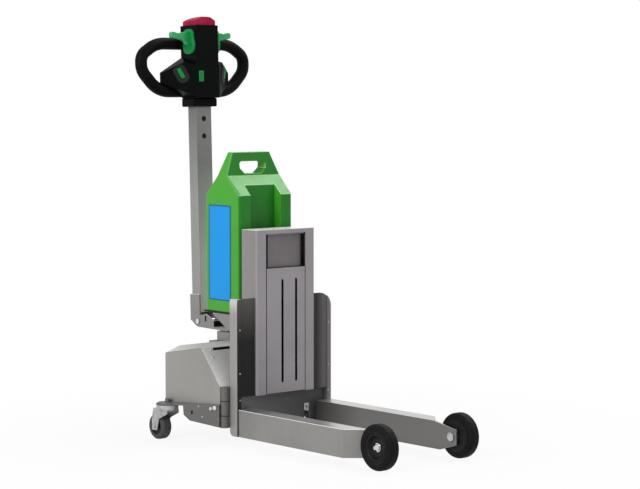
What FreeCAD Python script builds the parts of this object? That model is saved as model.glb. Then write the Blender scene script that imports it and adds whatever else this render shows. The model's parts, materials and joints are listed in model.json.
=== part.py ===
import FreeCAD, Part
import math
import os
import re

import Sketcher
from FreeCAD import Placement, Rotation, Vector

# Pedestrian electric tow tug.
# Frame: +X towards the load wheels, +Y to the left, +Z up, millimetres.
# Origin: floor level, on the centre plane, half way along the machine's length.
# Stations called "..._back" are distances behind the front axle.

DIMS = [
    ("axle_ahead", 480.0, "front axle ahead of the origin"),
    ("fit_gap", 0.05, "radial clearance of running fits"),
    ("seat_gap", 0.3, "clearance between parts that seat loosely"),
    ("tool_past", 1.0, "how far a cutting block reaches past what it cuts"),
    # front wheels
    ("wheel_radius", 62.5, "front tyre radius"),
    ("wheel_wide", 37.0, "front tyre width"),
    ("wheel_track_half", 148.0, "centre plane to front tyre centre"),
    ("tyre_bore", 44.0, "radius where tyre meets hub"),
    ("tyre_round", 4.0, "tyre shoulder rounding"),
    ("hub_dish_radius", 30.0, "radius of the dished hub face"),
    ("hub_dish_deep", 13.0, "depth of the dish in the hub"),
    ("hub_dish_flare", 2.0, "how much the dish widens to its mouth"),
    ("hub_set_in", 1.0, "hub face inside the tyre's face"),
    ("axle_radius", 8.0, "front axle shaft radius"),
    ("axle_head_radius", 12.0, "axle bolt head and spacer radius"),
    ("axle_head_thick", 6.0, "axle bolt head thickness"),
    ("dome_radius", 10.0, "dome nut radius"),
    ("dome_long", 12.0, "dome nut length"),
    # legs
    ("leg_outer", 172.0, "centre plane to the leg's outer face"),
    ("leg_wide", 55.0, "leg tube width"),
    ("leg_low", 20.0, "underside of the leg"),
    ("leg_top", 98.0, "top of the leg"),
    ("leg_outer_end_back", 122.0, "leg's outer corner behind the axle"),
    ("leg_inner_end_back", 72.0, "leg's inner corner behind the axle"),
    ("nose_thick", 7.0, "nose plate thickness"),
    ("nose_ahead", 15.0, "nose plate ahead of the axle"),
    ("nose_top", 83.0, "nose plate's front top corner height"),
    ("nose_low", 39.0, "nose plate's front lower corner height"),
    ("nose_chamfer_back", 48.0, "where the nose plate's underside starts to rise"),
    # posts and shield
    ("post_front_back", 569.0, "front face of the posts"),
    ("post_outer", 176.0, "centre plane to the posts' outer faces"),
    ("post_deep", 34.0, "post depth along X"),
    ("post_wide", 15.0, "post width"),
    ("post_low", 20.0, "foot of the posts"),
    ("post_top", 412.0, "top of the posts"),
    ("post_round_left", 40.0, "rounding of the left post's and shield's top corner"),
    ("post_round_right", 6.0, "rounding of the right post's and shield's top corner"),
    ("post_foot_round", 14.0, "post's lower rear rounding"),
    ("shield_thick", 6.0, "shield plate thickness"),
    ("shield_setback", 4.0, "shield front behind the post front"),
    ("cross_thick", 8.0, "lower cross panel thickness"),
    ("cross_setback", 15.0, "lower cross panel behind the post front"),
    ("cross_low", 34.0, "underside of the lower cross panel"),
    ("notch_wide", 22.0, "notch in the cross panel, width"),
    ("notch_top", 90.0, "notch in the cross panel, top"),
    ("notch_inner", 86.0, "notch in the cross panel, inner side"),
    # mast channel and lift
    ("mast_front_back", 564.0, "front face of the mast channel"),
    ("mast_deep", 72.0, "mast channel depth"),
    ("mast_half", 108.5, "half width of the mast channel"),
    ("mast_low", 132.0, "bottom of the mast channel"),
    ("mast_top", 605.0, "top of the mast channel"),
    ("mast_sheet", 4.0, "mast sheet thickness"),
    ("flange_wide", 35.0, "front flange width"),
    ("lip_high", 12.0, "height of the lip above the window"),
    ("mast_bend", 7.0, "outer bend radius of the channel"),
    ("lift_gap", 2.5, "gap between lift plate and flanges"),
    ("lift_thick", 5.0, "lift plate thickness"),
    ("lift_top", 494.0, "top of the lift plate, lowered"),
    ("lift_low", 134.0, "bottom of the lift plate, lowered"),
    ("slot_wide", 8.0, "slot width"),
    ("slot_low", 162.0, "lower end of the slots"),
    ("slot_top", 462.0, "upper end of the slots"),
    ("slot_right", 13.0, "right slot, to the right of centre"),
    ("slot_left", 38.0, "left slot, to the left of centre"),
    ("carriage_neck", 4.0, "carriage neck inside the edge of the lift plate"),
    ("groove_wide", 20.0, "groove behind each slot, width"),
    ("groove_deep", 12.0, "groove behind each slot, depth"),
    ("block_low", 150.0, "bottom of the carriage block"),
    ("block_top", 400.0, "top of the carriage block"),
    ("block_gap", 3.0, "carriage block clearance in the channel"),
    ("carriage_web", 24.0, "carriage thickness behind the lift plate"),
    ("carriage_side", 8.0, "carriage side rib thickness"),
    ("window_recess", 15.0, "window plate behind the mast's front face"),
    ("window_side_gap", 6.0, "dark gap at each side of the window plate"),
    ("window_sheet", 3.0, "window plate thickness"),
    ("window_foot_gap", 1.0, "window plate above the lift plate"),
    # battery
    ("battery_mid_back", 734.5, "battery centre"),
    ("battery_long", 161.0, "battery length along X"),
    ("battery_half", 100.0, "battery half width"),
    ("battery_round", 12.0, "battery vertical edge radius"),
    ("battery_eave", 700.0, "height where the battery starts to slope"),
    ("shoulder_high", 755.0, "height of the grip's shoulder"),
    ("shoulder_long", 46.0, "grip thickness at the shoulder"),
    ("shoulder_in", 1.0, "shoulder inside the battery's side"),
    ("grip_top", 823.0, "top of the battery grip"),
    ("grip_thick", 22.0, "grip thickness at the top"),
    ("grip_half", 70.0, "grip half width at the top"),
    ("shoulder_round", 5.0, "edge radius at the battery's shoulder and grip"),
    ("hand_corner", 6.0, "cut upper corners of the hand hole"),
    ("hand_half", 47.0, "hand hole half width"),
    ("hand_low", 760.0, "bottom of the hand hole"),
    ("hand_top", 796.0, "top of the hand hole"),
    ("hand_chamfer", 16.0, "cut lower corners of the hand hole"),
    ("recess_half", 56.0, "half width of the recess in the battery front"),
    ("recess_deep", 30.0, "depth of the recess in the battery front"),
    ("label_thick", 1.0, "label plate thickness"),
    ("label_rear", 20.0, "label behind edge to battery rear"),
    ("label_wide", 102.0, "label width"),
    ("label_low", 392.0, "label bottom"),
    ("label_top", 670.0, "label top"),
    ("tray_top", 360.0, "top of the battery tray"),
    ("tray_thick", 5.0, "tray sheet thickness"),
    ("tray_margin", 3.0, "tray beyond the battery at the sides and rear"),
    ("gusset_high", 87.0, "tray gusset height at the mast"),
    ("gusset_tip", 6.0, "tray gusset height at its rear end"),
    ("gusset_long", 143.0, "tray gusset length"),
    ("gusset_apart", 98.0, "tray gusset to the centre plane"),
    # hood
    ("hood_low", 110.0, "lower edge of the hood"),
    ("hood_top", 268.0, "top of the hood"),
    ("hood_front_back", 617.0, "front lower edge of the hood"),
    ("hood_crest_back", 670.0, "front edge of the hood's flat top"),
    ("hood_rear_back", 772.0, "rear face of the hood"),
    ("hood_slant_low", 159.0, "where the slanted front starts"),
    ("hood_front_half", 200.0, "half width at the hood's front"),
    ("hood_rear_half", 278.0, "half width at the hood's rear"),
    ("hood_flat_half", 226.0, "half width of the flat top"),
    ("hood_rear_edge", 250.0, "height of the side plate at the rear"),
    ("hood_sheet", 3.0, "hood sheet thickness"),
    ("hood_side_thick", 5.0, "hood side plate thickness"),
    ("hood_notch_half", 112.0, "half width of the hood's centre notch and rear opening"),
    # casters
    ("caster_back", 754.0, "caster swivel axis behind the front axle"),
    ("caster_half", 285.0, "caster swivel axis to the centre plane"),
    ("caster_trail", 35.0, "caster trail"),
    ("caster_radius", 37.5, "caster wheel radius"),
    ("caster_wide", 32.0, "caster wheel width"),
    ("caster_round", 6.0, "caster tread rounding"),
    ("caster_side_gap", 2.5, "caster wheel to fork leg"),
    ("caster_sheet", 3.0, "caster fork sheet thickness"),
    ("caster_crown", 88.0, "underside of the caster fork crown"),
    ("caster_pin", 5.0, "caster axle radius"),
    ("caster_pin_end", 3.0, "caster axle beyond the fork"),
    ("fork_tip_past", 12.0, "caster fork beyond the axle"),
    ("fork_tip_low", 10.0, "caster fork below the axle"),
    ("fork_front", 26.0, "caster fork ahead of the swivel axis"),
    ("fork_front_drop", 8.0, "depth of the fork's front edge"),
    ("fork_brow", 5.0, "top of the caster fork behind the axle"),
    ("fork_bulge_high", 56.0, "height where the caster fork is longest"),
    ("fork_waist_ahead", 22.0, "caster fork's waist ahead of the axle"),
    ("fork_waist_high", 62.0, "height of the caster fork's waist"),
    ("race_radius", 32.0, "ball race radius"),
    ("arm_low", 45.0, "underside of the caster arm at the hinge"),
    ("arm_knee_low", 62.0, "underside of the caster arm at the knee"),
    ("arm_wide", 34.0, "caster arm width"),
    ("arm_sheet", 5.0, "caster arm sheet thickness"),
    ("arm_top_thick", 6.0, "caster arm top plate thickness"),
    ("knee_clear", 72.0, "lower knee of the caster arm to the swivel axis"),
    ("brow_clear", 54.0, "upper knee of the caster arm to the swivel axis"),
    ("brow_low", 78.0, "height of the caster arm's upper knee"),
    ("end_clear", 52.0, "end of the arm's side plates to the swivel axis"),
    ("arm_past", 28.0, "arm top plate past the swivel axis"),
    ("arm_collar_lap", 3.0, "how far the arm's sheets enter the hinge sleeve"),
    ("king_radius", 6.0, "kingpin radius"),
    ("king_nut_radius", 7.0, "kingpin nut radius"),
    ("king_nut_high", 11.0, "kingpin nut height"),
    ("barrel_behind", 11.0, "hinge barrel behind the posts' rear faces"),
    ("barrel_half", 186.0, "hinge barrel to the centre plane"),
    ("barrel_radius", 14.0, "hinge barrel radius"),
    ("barrel_low", 43.0, "bottom of the hinge barrel"),
    ("barrel_top", 160.0, "top of the hinge barrel"),
    ("relief_gap", 0.5, "space cut round the hinge barrel in its neighbours"),
    ("leaf_lap", 5.0, "hinge leaf over the post's rear face"),
    # drive
    ("column_back", 820.0, "steering axis behind the front axle"),
    ("drive_radius", 90.0, "drive tyre radius"),
    ("drive_wide", 56.0, "drive tyre width"),
    ("drive_bore", 66.0, "drive hub radius"),
    ("drive_round", 6.0, "drive tyre shoulder rounding"),
    ("yoke_gap", 6.0, "drive tyre to fork cheek"),
    ("yoke_sheet", 8.0, "drive fork cheek thickness"),
    ("yoke_under", 197.0, "underside of the drive fork crown"),
    ("yoke_crown", 12.0, "drive fork crown thickness"),
    ("yoke_long", 70.0, "drive fork cheek length"),
    ("yoke_eye", 22.0, "drive fork cheeks below the axle"),
    ("drive_pin_end", 4.0, "drive axle beyond the fork"),
    ("drive_pin", 10.0, "drive axle radius"),
    ("stem_radius", 16.0, "steering stem radius"),
    ("bearing_low", 226.0, "underside of the bearing housing"),
    ("bearing_top", 288.0, "top of the bearing block"),
    ("bearing_half", 30.0, "bearing block half size"),
    ("housing_radius", 26.0, "bearing housing radius below the bracket"),
    ("bracket_under", 250.0, "underside of the column bracket"),
    ("bracket_thick", 12.0, "column bracket thickness"),
    ("bracket_half", 60.0, "column bracket half width"),
    # steering arm and tiller
    ("pivot_back", 930.0, "tiller pivot behind the front axle"),
    ("pivot_high", 311.0, "tiller pivot height"),
    ("pivot_radius", 6.0, "tiller pivot bolt radius"),
    ("arm_cheek", 5.0, "steering arm cheek thickness"),
    ("arm_cheek_gap", 1.0, "steering arm cheek to tiller fork"),
    ("arm_floor", 292.0, "underside of the steering arm"),
    ("arm_roof", 336.0, "top of the steering arm where its slope starts"),
    ("arm_eye", 17.0, "steering arm eye radius"),
    ("arm_root", 34.0, "steering arm ahead of the column"),
    ("arm_web_high", 8.0, "height of the arm's cross web"),
    ("arm_step_back", 34.0, "front of the arm's raised part behind the column"),
    ("arm_step_high", 26.0, "height of the arm's raised part at its front"),
    ("arm_slope", 40.0, "length of the slope up to the roof"),
    ("bolt_head_radius", 8.0, "pivot bolt head radius"),
    ("bolt_head_thick", 4.0, "pivot bolt head thickness"),
    ("tiller_lean", 1.7, "tiller leans back at rest, degrees"),
    ("tiller_wide", 56.0, "tiller tube width"),
    ("tiller_deep", 40.0, "tiller tube depth"),
    ("tiller_set", 21.0, "tiller tube centre behind the pivot"),
    ("tiller_foot", 26.0, "bottom of the tiller tube above the pivot"),
    ("tiller_end", 673.0, "top of the tiller tube above the pivot"),
    ("tiller_wall", 3.0, "tiller tube wall"),
    ("tiller_hole", 8.0, "radius of the holes in the tiller tube"),
    ("tiller_hole_upper", 607.0, "upper hole above the pivot"),
    ("tiller_hole_lower", 555.0, "lower hole above the pivot"),
    ("fork_sheet", 5.0, "tiller fork plate thickness"),
    ("fork_top", 80.0, "top of the tiller fork plates above the pivot"),
    ("fork_eye", 18.0, "tiller fork eye radius"),
    ("fork_back_low", 0.0, "bottom of the fork's back plate above the pivot"),
    ("fork_foot", 14.0, "bottom of the fork plates below the pivot"),
    ("fork_heel", 20.0, "length of the cut at the fork plates' rear foot"),
    # control head, heights above the pivot
    ("head_low", 643.0, "underside of the head's collar"),
    ("head_top", 885.0, "top of the head shell"),
    ("head_ahead", 6.0, "head centre ahead of the tube centre"),
    ("head_wide", 84.0, "head width"),
    ("head_deep", 80.0, "head depth"),
    ("head_round", 4.0, "head edge rounding"),
    ("collar_high", 26.0, "collar height"),
    ("collar_side", 17.0, "collar beyond the tube at the sides"),
    ("collar_fore", 10.0, "collar beyond the tube in front and behind"),
    ("pod_wide", 84.0, "pod tip beyond the head's side"),
    ("pod_low", 672.0, "underside of the pods"),
    ("pod_top", 792.0, "where the pods leave the head at their rear"),
    ("pod_front_top", 768.0, "where the pods leave the head at their front"),
    ("pod_tip_top", 745.0, "top of the pod's tip"),
    ("pod_tip_low", 714.0, "bottom of the pod's tip"),
    ("pod_sweep", 64.0, "pod tip behind the head's front face"),
    ("pod_rear", 32.0, "rear of the pods behind the head's centre"),
    ("button_top", 912.0, "top of the belly button"),
    ("button_half", 36.0, "belly button half width"),
    ("button_side_drop", 14.0, "how far the belly button's dome falls to its sides"),
    ("button_end_drop", 14.0, "how far the belly button's dome falls to its rear"),
    ("button_crest", 14.0, "crest of the belly button ahead of its middle"),
    ("loop_behind", 34.0, "loop plane behind the head's centre"),
    ("loop_tube", 18.0, "loop tube radius"),
    ("loop_half", 192.0, "loop centreline half width at the widest"),
    ("loop_top_half", 138.0, "loop corner half width at the top"),
    ("loop_foot_half", 134.0, "loop corner half width at the bottom"),
    ("loop_side_top", 796.0, "upper end of the loop's upright sides"),
    ("loop_side_low", 752.0, "lower end of the loop's upright sides"),
    ("loop_top_bend", 30.0, "length of run that the loop's top bend takes"),
    ("loop_side_bend", 19.0, "length of run that each bend of the loop's side takes"),
    ("loop_foot_bend", 40.0, "length of run that the loop's foot bend takes"),
    ("loop_high", 832.0, "loop centreline height at the top"),
    ("loop_low", 690.0, "loop centreline height at the bottom"),
    ("paddle_high", 874.0, "paddle top"),
    ("paddle_low", 799.0, "paddle bottom"),
    ("paddle_long", 50.0, "paddle length along X"),
    ("paddle_thick", 10.0, "paddle thickness"),
    ("paddle_round", 24.0, "paddle corner radius"),
    ("paddle_ahead", 10.0, "paddle centre ahead of the head's centre"),
    ("ear_long", 66.0, "thumb ear beyond the head's side"),
    ("ear_high", 18.0, "thumb ear height at its tip"),
    ("ear_thick", 14.0, "thumb ear thickness along X"),
    ("push_wide", 17.0, "push button width"),
    ("push_high", 32.0, "push button height"),
    ("push_low", 717.0, "bottom of the push button"),
    ("push_side", 27.0, "push button to the right of the centre plane"),
    ("push_proud", 4.0, "push button proud of the head"),
]
NAMES = {alias for alias, value, note in DIMS}

doc = FreeCAD.newDocument("TowTug")
sheet = doc.addObject("Spreadsheet::Sheet", "Dims")
for row, (alias, value, note) in enumerate(DIMS, start=1):
    sheet.set("A%d" % row, alias)
    sheet.set("B%d" % row, str(value))
    sheet.setAlias("B%d" % row, alias)
    sheet.set("C%d" % row, note)
doc.recompute()

WORD = re.compile(r"[a-z][a-z0-9_]*")
SIDES = (("left", 1), ("right", -1))
nodes = []


# ---------------------------------------------------------------- helpers

def expression(text):
    """The text with every dimension name pointed at the sheet."""
    return WORD.sub(lambda word: "Dims." + word.group() if word.group() in NAMES else word.group(), text)


def number(text):
    """What an expression is worth now."""
    return float(sheet.evalExpression(expression(text)))


def bind(thing, **sizes):
    """Bind properties to expressions; a double underscore stands for a dot."""
    for name, text in sizes.items():
        thing.setExpression(name.replace("__", "."), expression(text))


def place(thing, along="0", across="0", height="0"):
    bind(thing, Placement__Base__x=along, Placement__Base__y=across, Placement__Base__z=height)


def node(thing, name):
    """Name a finished sub-part."""
    thing.Label = name
    nodes.append(thing)
    return thing


def new_body(name):
    return node(doc.addObject("PartDesign::Body", name), name)


def outline(body, role, corners, offset="0"):
    """Closed sketch on one of the body's origin planes; corners are pairs of expressions."""
    sketch = body.newObject("Sketcher::SketchObject", body.Name + "_outline")
    plane = [item for item in body.Origin.OriginFeatures if item.Role == role][0]
    sketch.AttachmentSupport = (plane, [""])
    sketch.MapMode = "FlatFace"
    bind(sketch, AttachmentOffset__Base__z=offset)
    values = [(number(along), number(up)) for along, up in corners]
    count = len(corners)
    for index, start in enumerate(values):
        end = values[(index + 1) % count]
        sketch.addGeometry(Part.LineSegment(Vector(*start, 0), Vector(*end, 0)), False)
    for index in range(count):
        sketch.addConstraint(Sketcher.Constraint("Coincident", index, 2, (index + 1) % count, 1))
    for index, (texts, pair) in enumerate(zip(corners, values)):
        for kind, text, value in zip(("DistanceX", "DistanceY"), texts, pair):
            row = sketch.addConstraint(Sketcher.Constraint(kind, -1, 1, index, 1, value))
            sketch.setExpression("Constraints[%d]" % row, expression(text))
    return sketch


def disc(body, role, along, up, radius, offset="0"):
    """Round sketch on one of the body's origin planes."""
    sketch = body.newObject("Sketcher::SketchObject", body.Name + "_disc")
    plane = [item for item in body.Origin.OriginFeatures if item.Role == role][0]
    sketch.AttachmentSupport = (plane, [""])
    sketch.MapMode = "FlatFace"
    bind(sketch, AttachmentOffset__Base__z=offset)
    centre = Vector(number(along), number(up), 0)
    sketch.addGeometry(Part.Circle(centre, Vector(0, 0, 1), number(radius)), False)
    rows = [
        sketch.addConstraint(Sketcher.Constraint("DistanceX", -1, 1, 0, 3, centre.x)),
        sketch.addConstraint(Sketcher.Constraint("DistanceY", -1, 1, 0, 3, centre.y)),
        sketch.addConstraint(Sketcher.Constraint("Radius", 0, number(radius))),
    ]
    for row, text in zip(rows, (along, up, radius)):
        sketch.setExpression("Constraints[%d]" % row, expression(text))
    return sketch


def rectangle(left, low, right, top):
    return [(left, low), (right, low), (right, top), (left, top)]


def pad(body, sketch, length, middle=False):
    feature = body.newObject("PartDesign::Pad", body.Name + "_pad")
    feature.Profile = sketch
    feature.Midplane = middle
    bind(feature, Length=length)
    return feature


def pocket(body, sketch, length):
    """Cut half the length to each side of the sketch."""
    feature = body.newObject("PartDesign::Pocket", body.Name + "_pocket")
    feature.Profile = sketch
    feature.Midplane = True
    bind(feature, Length=length)
    return feature


def revolve(body, sketch, axis="H_Axis"):
    feature = body.newObject("PartDesign::Revolution", body.Name + "_turned")
    feature.Profile = sketch
    feature.ReferenceAxis = (sketch, [axis])
    feature.Angle = 360
    return feature


def fillet(body, feature, radius, wanted):
    """Round the edges that the test picks out."""
    doc.recompute()
    edges = [
        "Edge%d" % (index + 1)
        for index, edge in enumerate(feature.Shape.Edges)
        if wanted(edge)
    ]
    rounding = body.newObject("PartDesign::Fillet", body.Name + "_round")
    rounding.Base = (feature, edges)
    bind(rounding, Radius=radius)
    return rounding


def upright(edge):
    """Whether an edge is straight and vertical."""
    ends = edge.Vertexes
    return len(ends) == 2 and abs(ends[0].Z - ends[1].Z) > 0.99 * edge.Length


def box(name, low, sizes):
    shape = doc.addObject("Part::Box", name)
    bind(shape, Length=sizes[0], Width=sizes[1], Height=sizes[2])
    place(shape, *low)
    return shape


AXES = {
    "x": Rotation(Vector(0, 1, 0), 90),
    "y": Rotation(Vector(1, 0, 0), -90),
    "z": Rotation(),
}


def rod(name, axis, base, radius, length):
    """Cylinder from its base centre along +X, +Y or +Z."""
    shape = doc.addObject("Part::Cylinder", name)
    shape.Placement = Placement(Vector(), AXES[axis])
    bind(shape, Radius=radius, Height=length)
    place(shape, *base)
    return shape


def fuse(name, parts):
    shape = doc.addObject("Part::MultiFuse", name)
    shape.Shapes = parts
    shape.Refine = True
    return shape


def cut(name, base, tool):
    shape = doc.addObject("Part::Cut", name)
    shape.Base = base
    shape.Tool = tool
    shape.Refine = True
    return shape


def feature(name, shape):
    """Free-form piece whose sizes were read from the sheet."""
    thing = doc.addObject("Part::Feature", name)
    thing.Shape = shape
    return thing


def station(back):
    """X of something that lies this far behind the front axle."""
    return "axle_ahead - (%s)" % back


def low_side(sign, inner, outer):
    """Lower Y of a piece between two distances from the centre plane."""
    return "(%s)" % inner if sign > 0 else "-(%s)" % outer


# ---------------------------------------------------------------- legs and front wheels

def make_leg(side, sign):
    body = new_body("leg_" + side)
    inner = "%d * (leg_outer - leg_wide)" % sign
    outer = "%d * leg_outer" % sign
    rear = station("post_front_back")
    plan = outline(body, "XY_Plane", [
        (rear, outer),
        (rear, inner),
        (station("leg_inner_end_back"), inner),
        (station("leg_outer_end_back"), outer),
    ], "leg_low")
    pad(body, plan, "leg_top - leg_low")
    # The XZ plane's normal points to -Y, so a piece on the left has a negative offset.
    offset = "%d * (leg_outer - leg_wide + nose_thick / 2)" % -sign
    nose = outline(body, "XZ_Plane", [
        (station("leg_outer_end_back + nose_thick"), "leg_low"),
        (station("nose_chamfer_back"), "leg_low"),
        (station("-nose_ahead"), "nose_low"),
        (station("-nose_ahead"), "nose_top"),
        (station("leg_inner_end_back"), "leg_top"),
        (station("leg_outer_end_back + nose_thick"), "leg_top"),
    ], offset)
    pad(body, nose, "nose_thick", middle=True)
    hole = disc(body, "XZ_Plane", "axle_ahead", "wheel_radius", "axle_radius + fit_gap", offset)
    pocket(body, hole, "nose_thick * 2")


def turned(name, steps, axis_point, sign):
    """Round piece about a Y axis: steps are (distance from centre plane, radius) corners."""
    body = new_body(name)
    profile = outline(body, "YZ_Plane", [("%d * (%s)" % (sign, out), radius) for out, radius in steps])
    revolve(body, profile)
    place(body, axis_point[0], axis_point[1], axis_point[2])
    return body


def make_front_wheel(side, sign):
    centre = ("axle_ahead", "0", "wheel_radius")
    inner_face = "wheel_track_half - wheel_wide / 2"
    outer_face = "wheel_track_half + wheel_wide / 2"
    turned("front_tyre_" + side, [
        (inner_face, "tyre_bore"),
        (outer_face, "tyre_bore"),
        (outer_face, "wheel_radius - tyre_round"),
        (outer_face + " - tyre_round", "wheel_radius"),
        (inner_face + " + tyre_round", "wheel_radius"),
        (inner_face, "wheel_radius - tyre_round"),
    ], centre, sign)
    dish = outer_face + " - hub_dish_deep"
    hub_face = outer_face + " - hub_set_in"
    bore = "axle_radius + fit_gap"
    turned("front_hub_" + side, [
        (inner_face, bore),
        (dish, bore),
        (dish, "hub_dish_radius"),
        (hub_face, "hub_dish_radius + hub_dish_flare"),
        (hub_face, "tyre_bore"),
        (inner_face, "tyre_bore"),
    ], centre, sign)
    plate = "leg_outer - leg_wide"
    turned("front_axle_" + side, [
        (plate + " - axle_head_thick", "0"),
        (plate + " - axle_head_thick", "axle_head_radius"),
        (plate, "axle_head_radius"),
        (plate, "axle_radius"),
        (plate + " + nose_thick", "axle_radius"),
        (plate + " + nose_thick", "axle_head_radius"),
        (inner_face + " - seat_gap", "axle_head_radius"),
        (inner_face + " - seat_gap", "axle_radius"),
        (dish + " + seat_gap", "axle_radius"),
        (dish + " + seat_gap", "dome_radius"),
        (dish + " + dome_long / 2", "dome_radius"),
        (dish + " + dome_long", "dome_radius / 2"),
        (dish + " + dome_long", "0"),
    ], centre, sign)


# ---------------------------------------------------------------- posts, shield and cross panel

def barrel_centre(sign):
    """Foot of the hinge barrel's axis, at floor level."""
    along = number(station("post_front_back + post_deep + barrel_behind"))
    return Vector(along, sign * number("barrel_half"), 0)


def barrel_relief(sign):
    """Round space that the hinge barrel needs in what stands beside it."""
    gap = number("relief_gap")
    foot = barrel_centre(sign) + Vector(0, 0, number("barrel_low") - gap)
    return Part.makeCylinder(number("barrel_radius") + gap, number("barrel_top - barrel_low") + 2 * gap, foot)


def corner_waste(name, sign, radius):
    """What the rounding of the top outer corner takes off a post and its shield."""
    rear = station("post_front_back + post_deep + tool_past")
    length = "post_deep + 2 * tool_past"
    low = low_side(sign, "post_outer - " + radius, "post_outer + tool_past")
    square = box(name + "_square", (rear, low, "post_top - " + radius),
                 (length, radius + " + tool_past", radius + " + tool_past"))
    bar = rod(name + "_bar", "x", (rear, "%d * (post_outer - %s)" % (sign, radius), "post_top - " + radius),
              radius, length)
    return cut(name, square, bar)


def foot_waste(name, low):
    """What the rounding of the lower rear corner takes off a post."""
    rear = station("post_front_back + post_deep")
    square = box(name + "_square", (rear + " - tool_past", low, "post_low - tool_past"),
                 ("post_foot_round + tool_past", "post_wide", "post_foot_round + tool_past"))
    bar = rod(name + "_bar", "y", (rear + " + post_foot_round", low, "post_low + post_foot_round"),
              "post_foot_round", "post_wide")
    return cut(name, square, bar)


def make_post(side, sign):
    """Post and the shield between it and the mast."""
    low = low_side(sign, "post_outer - post_wide", "post_outer")
    corner = corner_waste("post_corner_" + side, sign, "post_round_" + side)
    block = box("post_block_" + side, (station("post_front_back + post_deep"), low, "post_low"),
                ("post_deep", "post_wide", "post_top - post_low"))
    relief = feature("post_relief_" + side, barrel_relief(sign))
    waste = fuse("post_waste_" + side, [corner, foot_waste("post_foot_" + side, low), relief])
    node(cut("post_" + side, block, waste), "post_" + side)
    near = low_side(sign, "mast_half", "post_outer - post_wide")
    plate = box("shield_block_" + side,
                (station("post_front_back + shield_setback + shield_thick"), near, "mast_low"),
                ("shield_thick", "post_outer - post_wide - mast_half", "post_top - mast_low"))
    node(cut("shield_plate_" + side, plate, corner), "shield_plate_" + side)


def make_cross_panel():
    body = new_body("lower_cross_panel")
    reach = "post_outer - post_wide"
    profile = outline(body, "YZ_Plane",
                      [("-(%s)" % reach, "cross_low"),
                       ("-notch_inner - notch_wide", "cross_low"),
                       ("-notch_inner - notch_wide", "notch_top"),
                       ("-notch_inner", "notch_top"),
                       ("-notch_inner", "cross_low"),
                       ("notch_inner", "cross_low"),
                       ("notch_inner", "notch_top"),
                       ("notch_inner + notch_wide", "notch_top"),
                       ("notch_inner + notch_wide", "cross_low"),
                       (reach, "cross_low"),
                       (reach, "mast_low"),
                       ("-(%s)" % reach, "mast_low")],
                      station("post_front_back + cross_setback + cross_thick"))
    pad(body, profile, "cross_thick")


# ---------------------------------------------------------------- mast channel and lift

def make_mast():
    body = new_body("mast_channel")
    front = station("mast_front_back")
    front_inner = station("mast_front_back + mast_sheet")
    back = station("mast_front_back + mast_deep")
    back_inner = station("mast_front_back + mast_deep - mast_sheet")
    edge = "mast_half - flange_wide"
    wall = "mast_half - mast_sheet"
    section = outline(body, "XY_Plane", [
        (front, edge), (front, "mast_half"), (back, "mast_half"),
        (back, "-mast_half"), (front, "-mast_half"), (front, "-(%s)" % edge),
        (front_inner, "-(%s)" % edge), (front_inner, "-(%s)" % wall), (back_inner, "-(%s)" % wall),
        (back_inner, wall), (front_inner, wall), (front_inner, edge),
    ], "mast_low")
    channel = pad(body, section, "mast_top - mast_low")

    def bend(edge_item):
        outer = number("mast_half")
        return upright(edge_item) and all(abs(abs(end.Y) - outer) < 0.01 for end in edge_item.Vertexes)

    fillet(body, channel, "mast_bend", bend)
    lip = outline(body, "YZ_Plane",
                  rectangle("-(%s)" % edge, "mast_top - lip_high", edge, "mast_top"), front_inner)
    pad(body, lip, "mast_sheet")
    cap = outline(body, "XY_Plane",
                  rectangle(back_inner, "-(%s)" % wall, front_inner, wall), "mast_top - mast_sheet")
    pad(body, cap, "mast_sheet")


def make_window_plate():
    half = "mast_half - flange_wide - window_side_gap"
    face = station("mast_front_back + window_recess + window_sheet")
    foot = "(lift_top + window_foot_gap)"
    sheet_box = box("window_sheet_box", (face, "-(%s)" % half, foot),
                    ("window_sheet", "2 * (%s)" % half, "mast_top - lip_high - " + foot))
    flange = box("window_flange_box",
                 (face, "-(%s)" % half, "mast_top - lip_high - window_sheet"),
                 ("window_recess + window_sheet", "2 * (%s)" % half, "window_sheet"))
    node(fuse("window_plate", [sheet_box, flange]), "window_plate")


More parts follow.
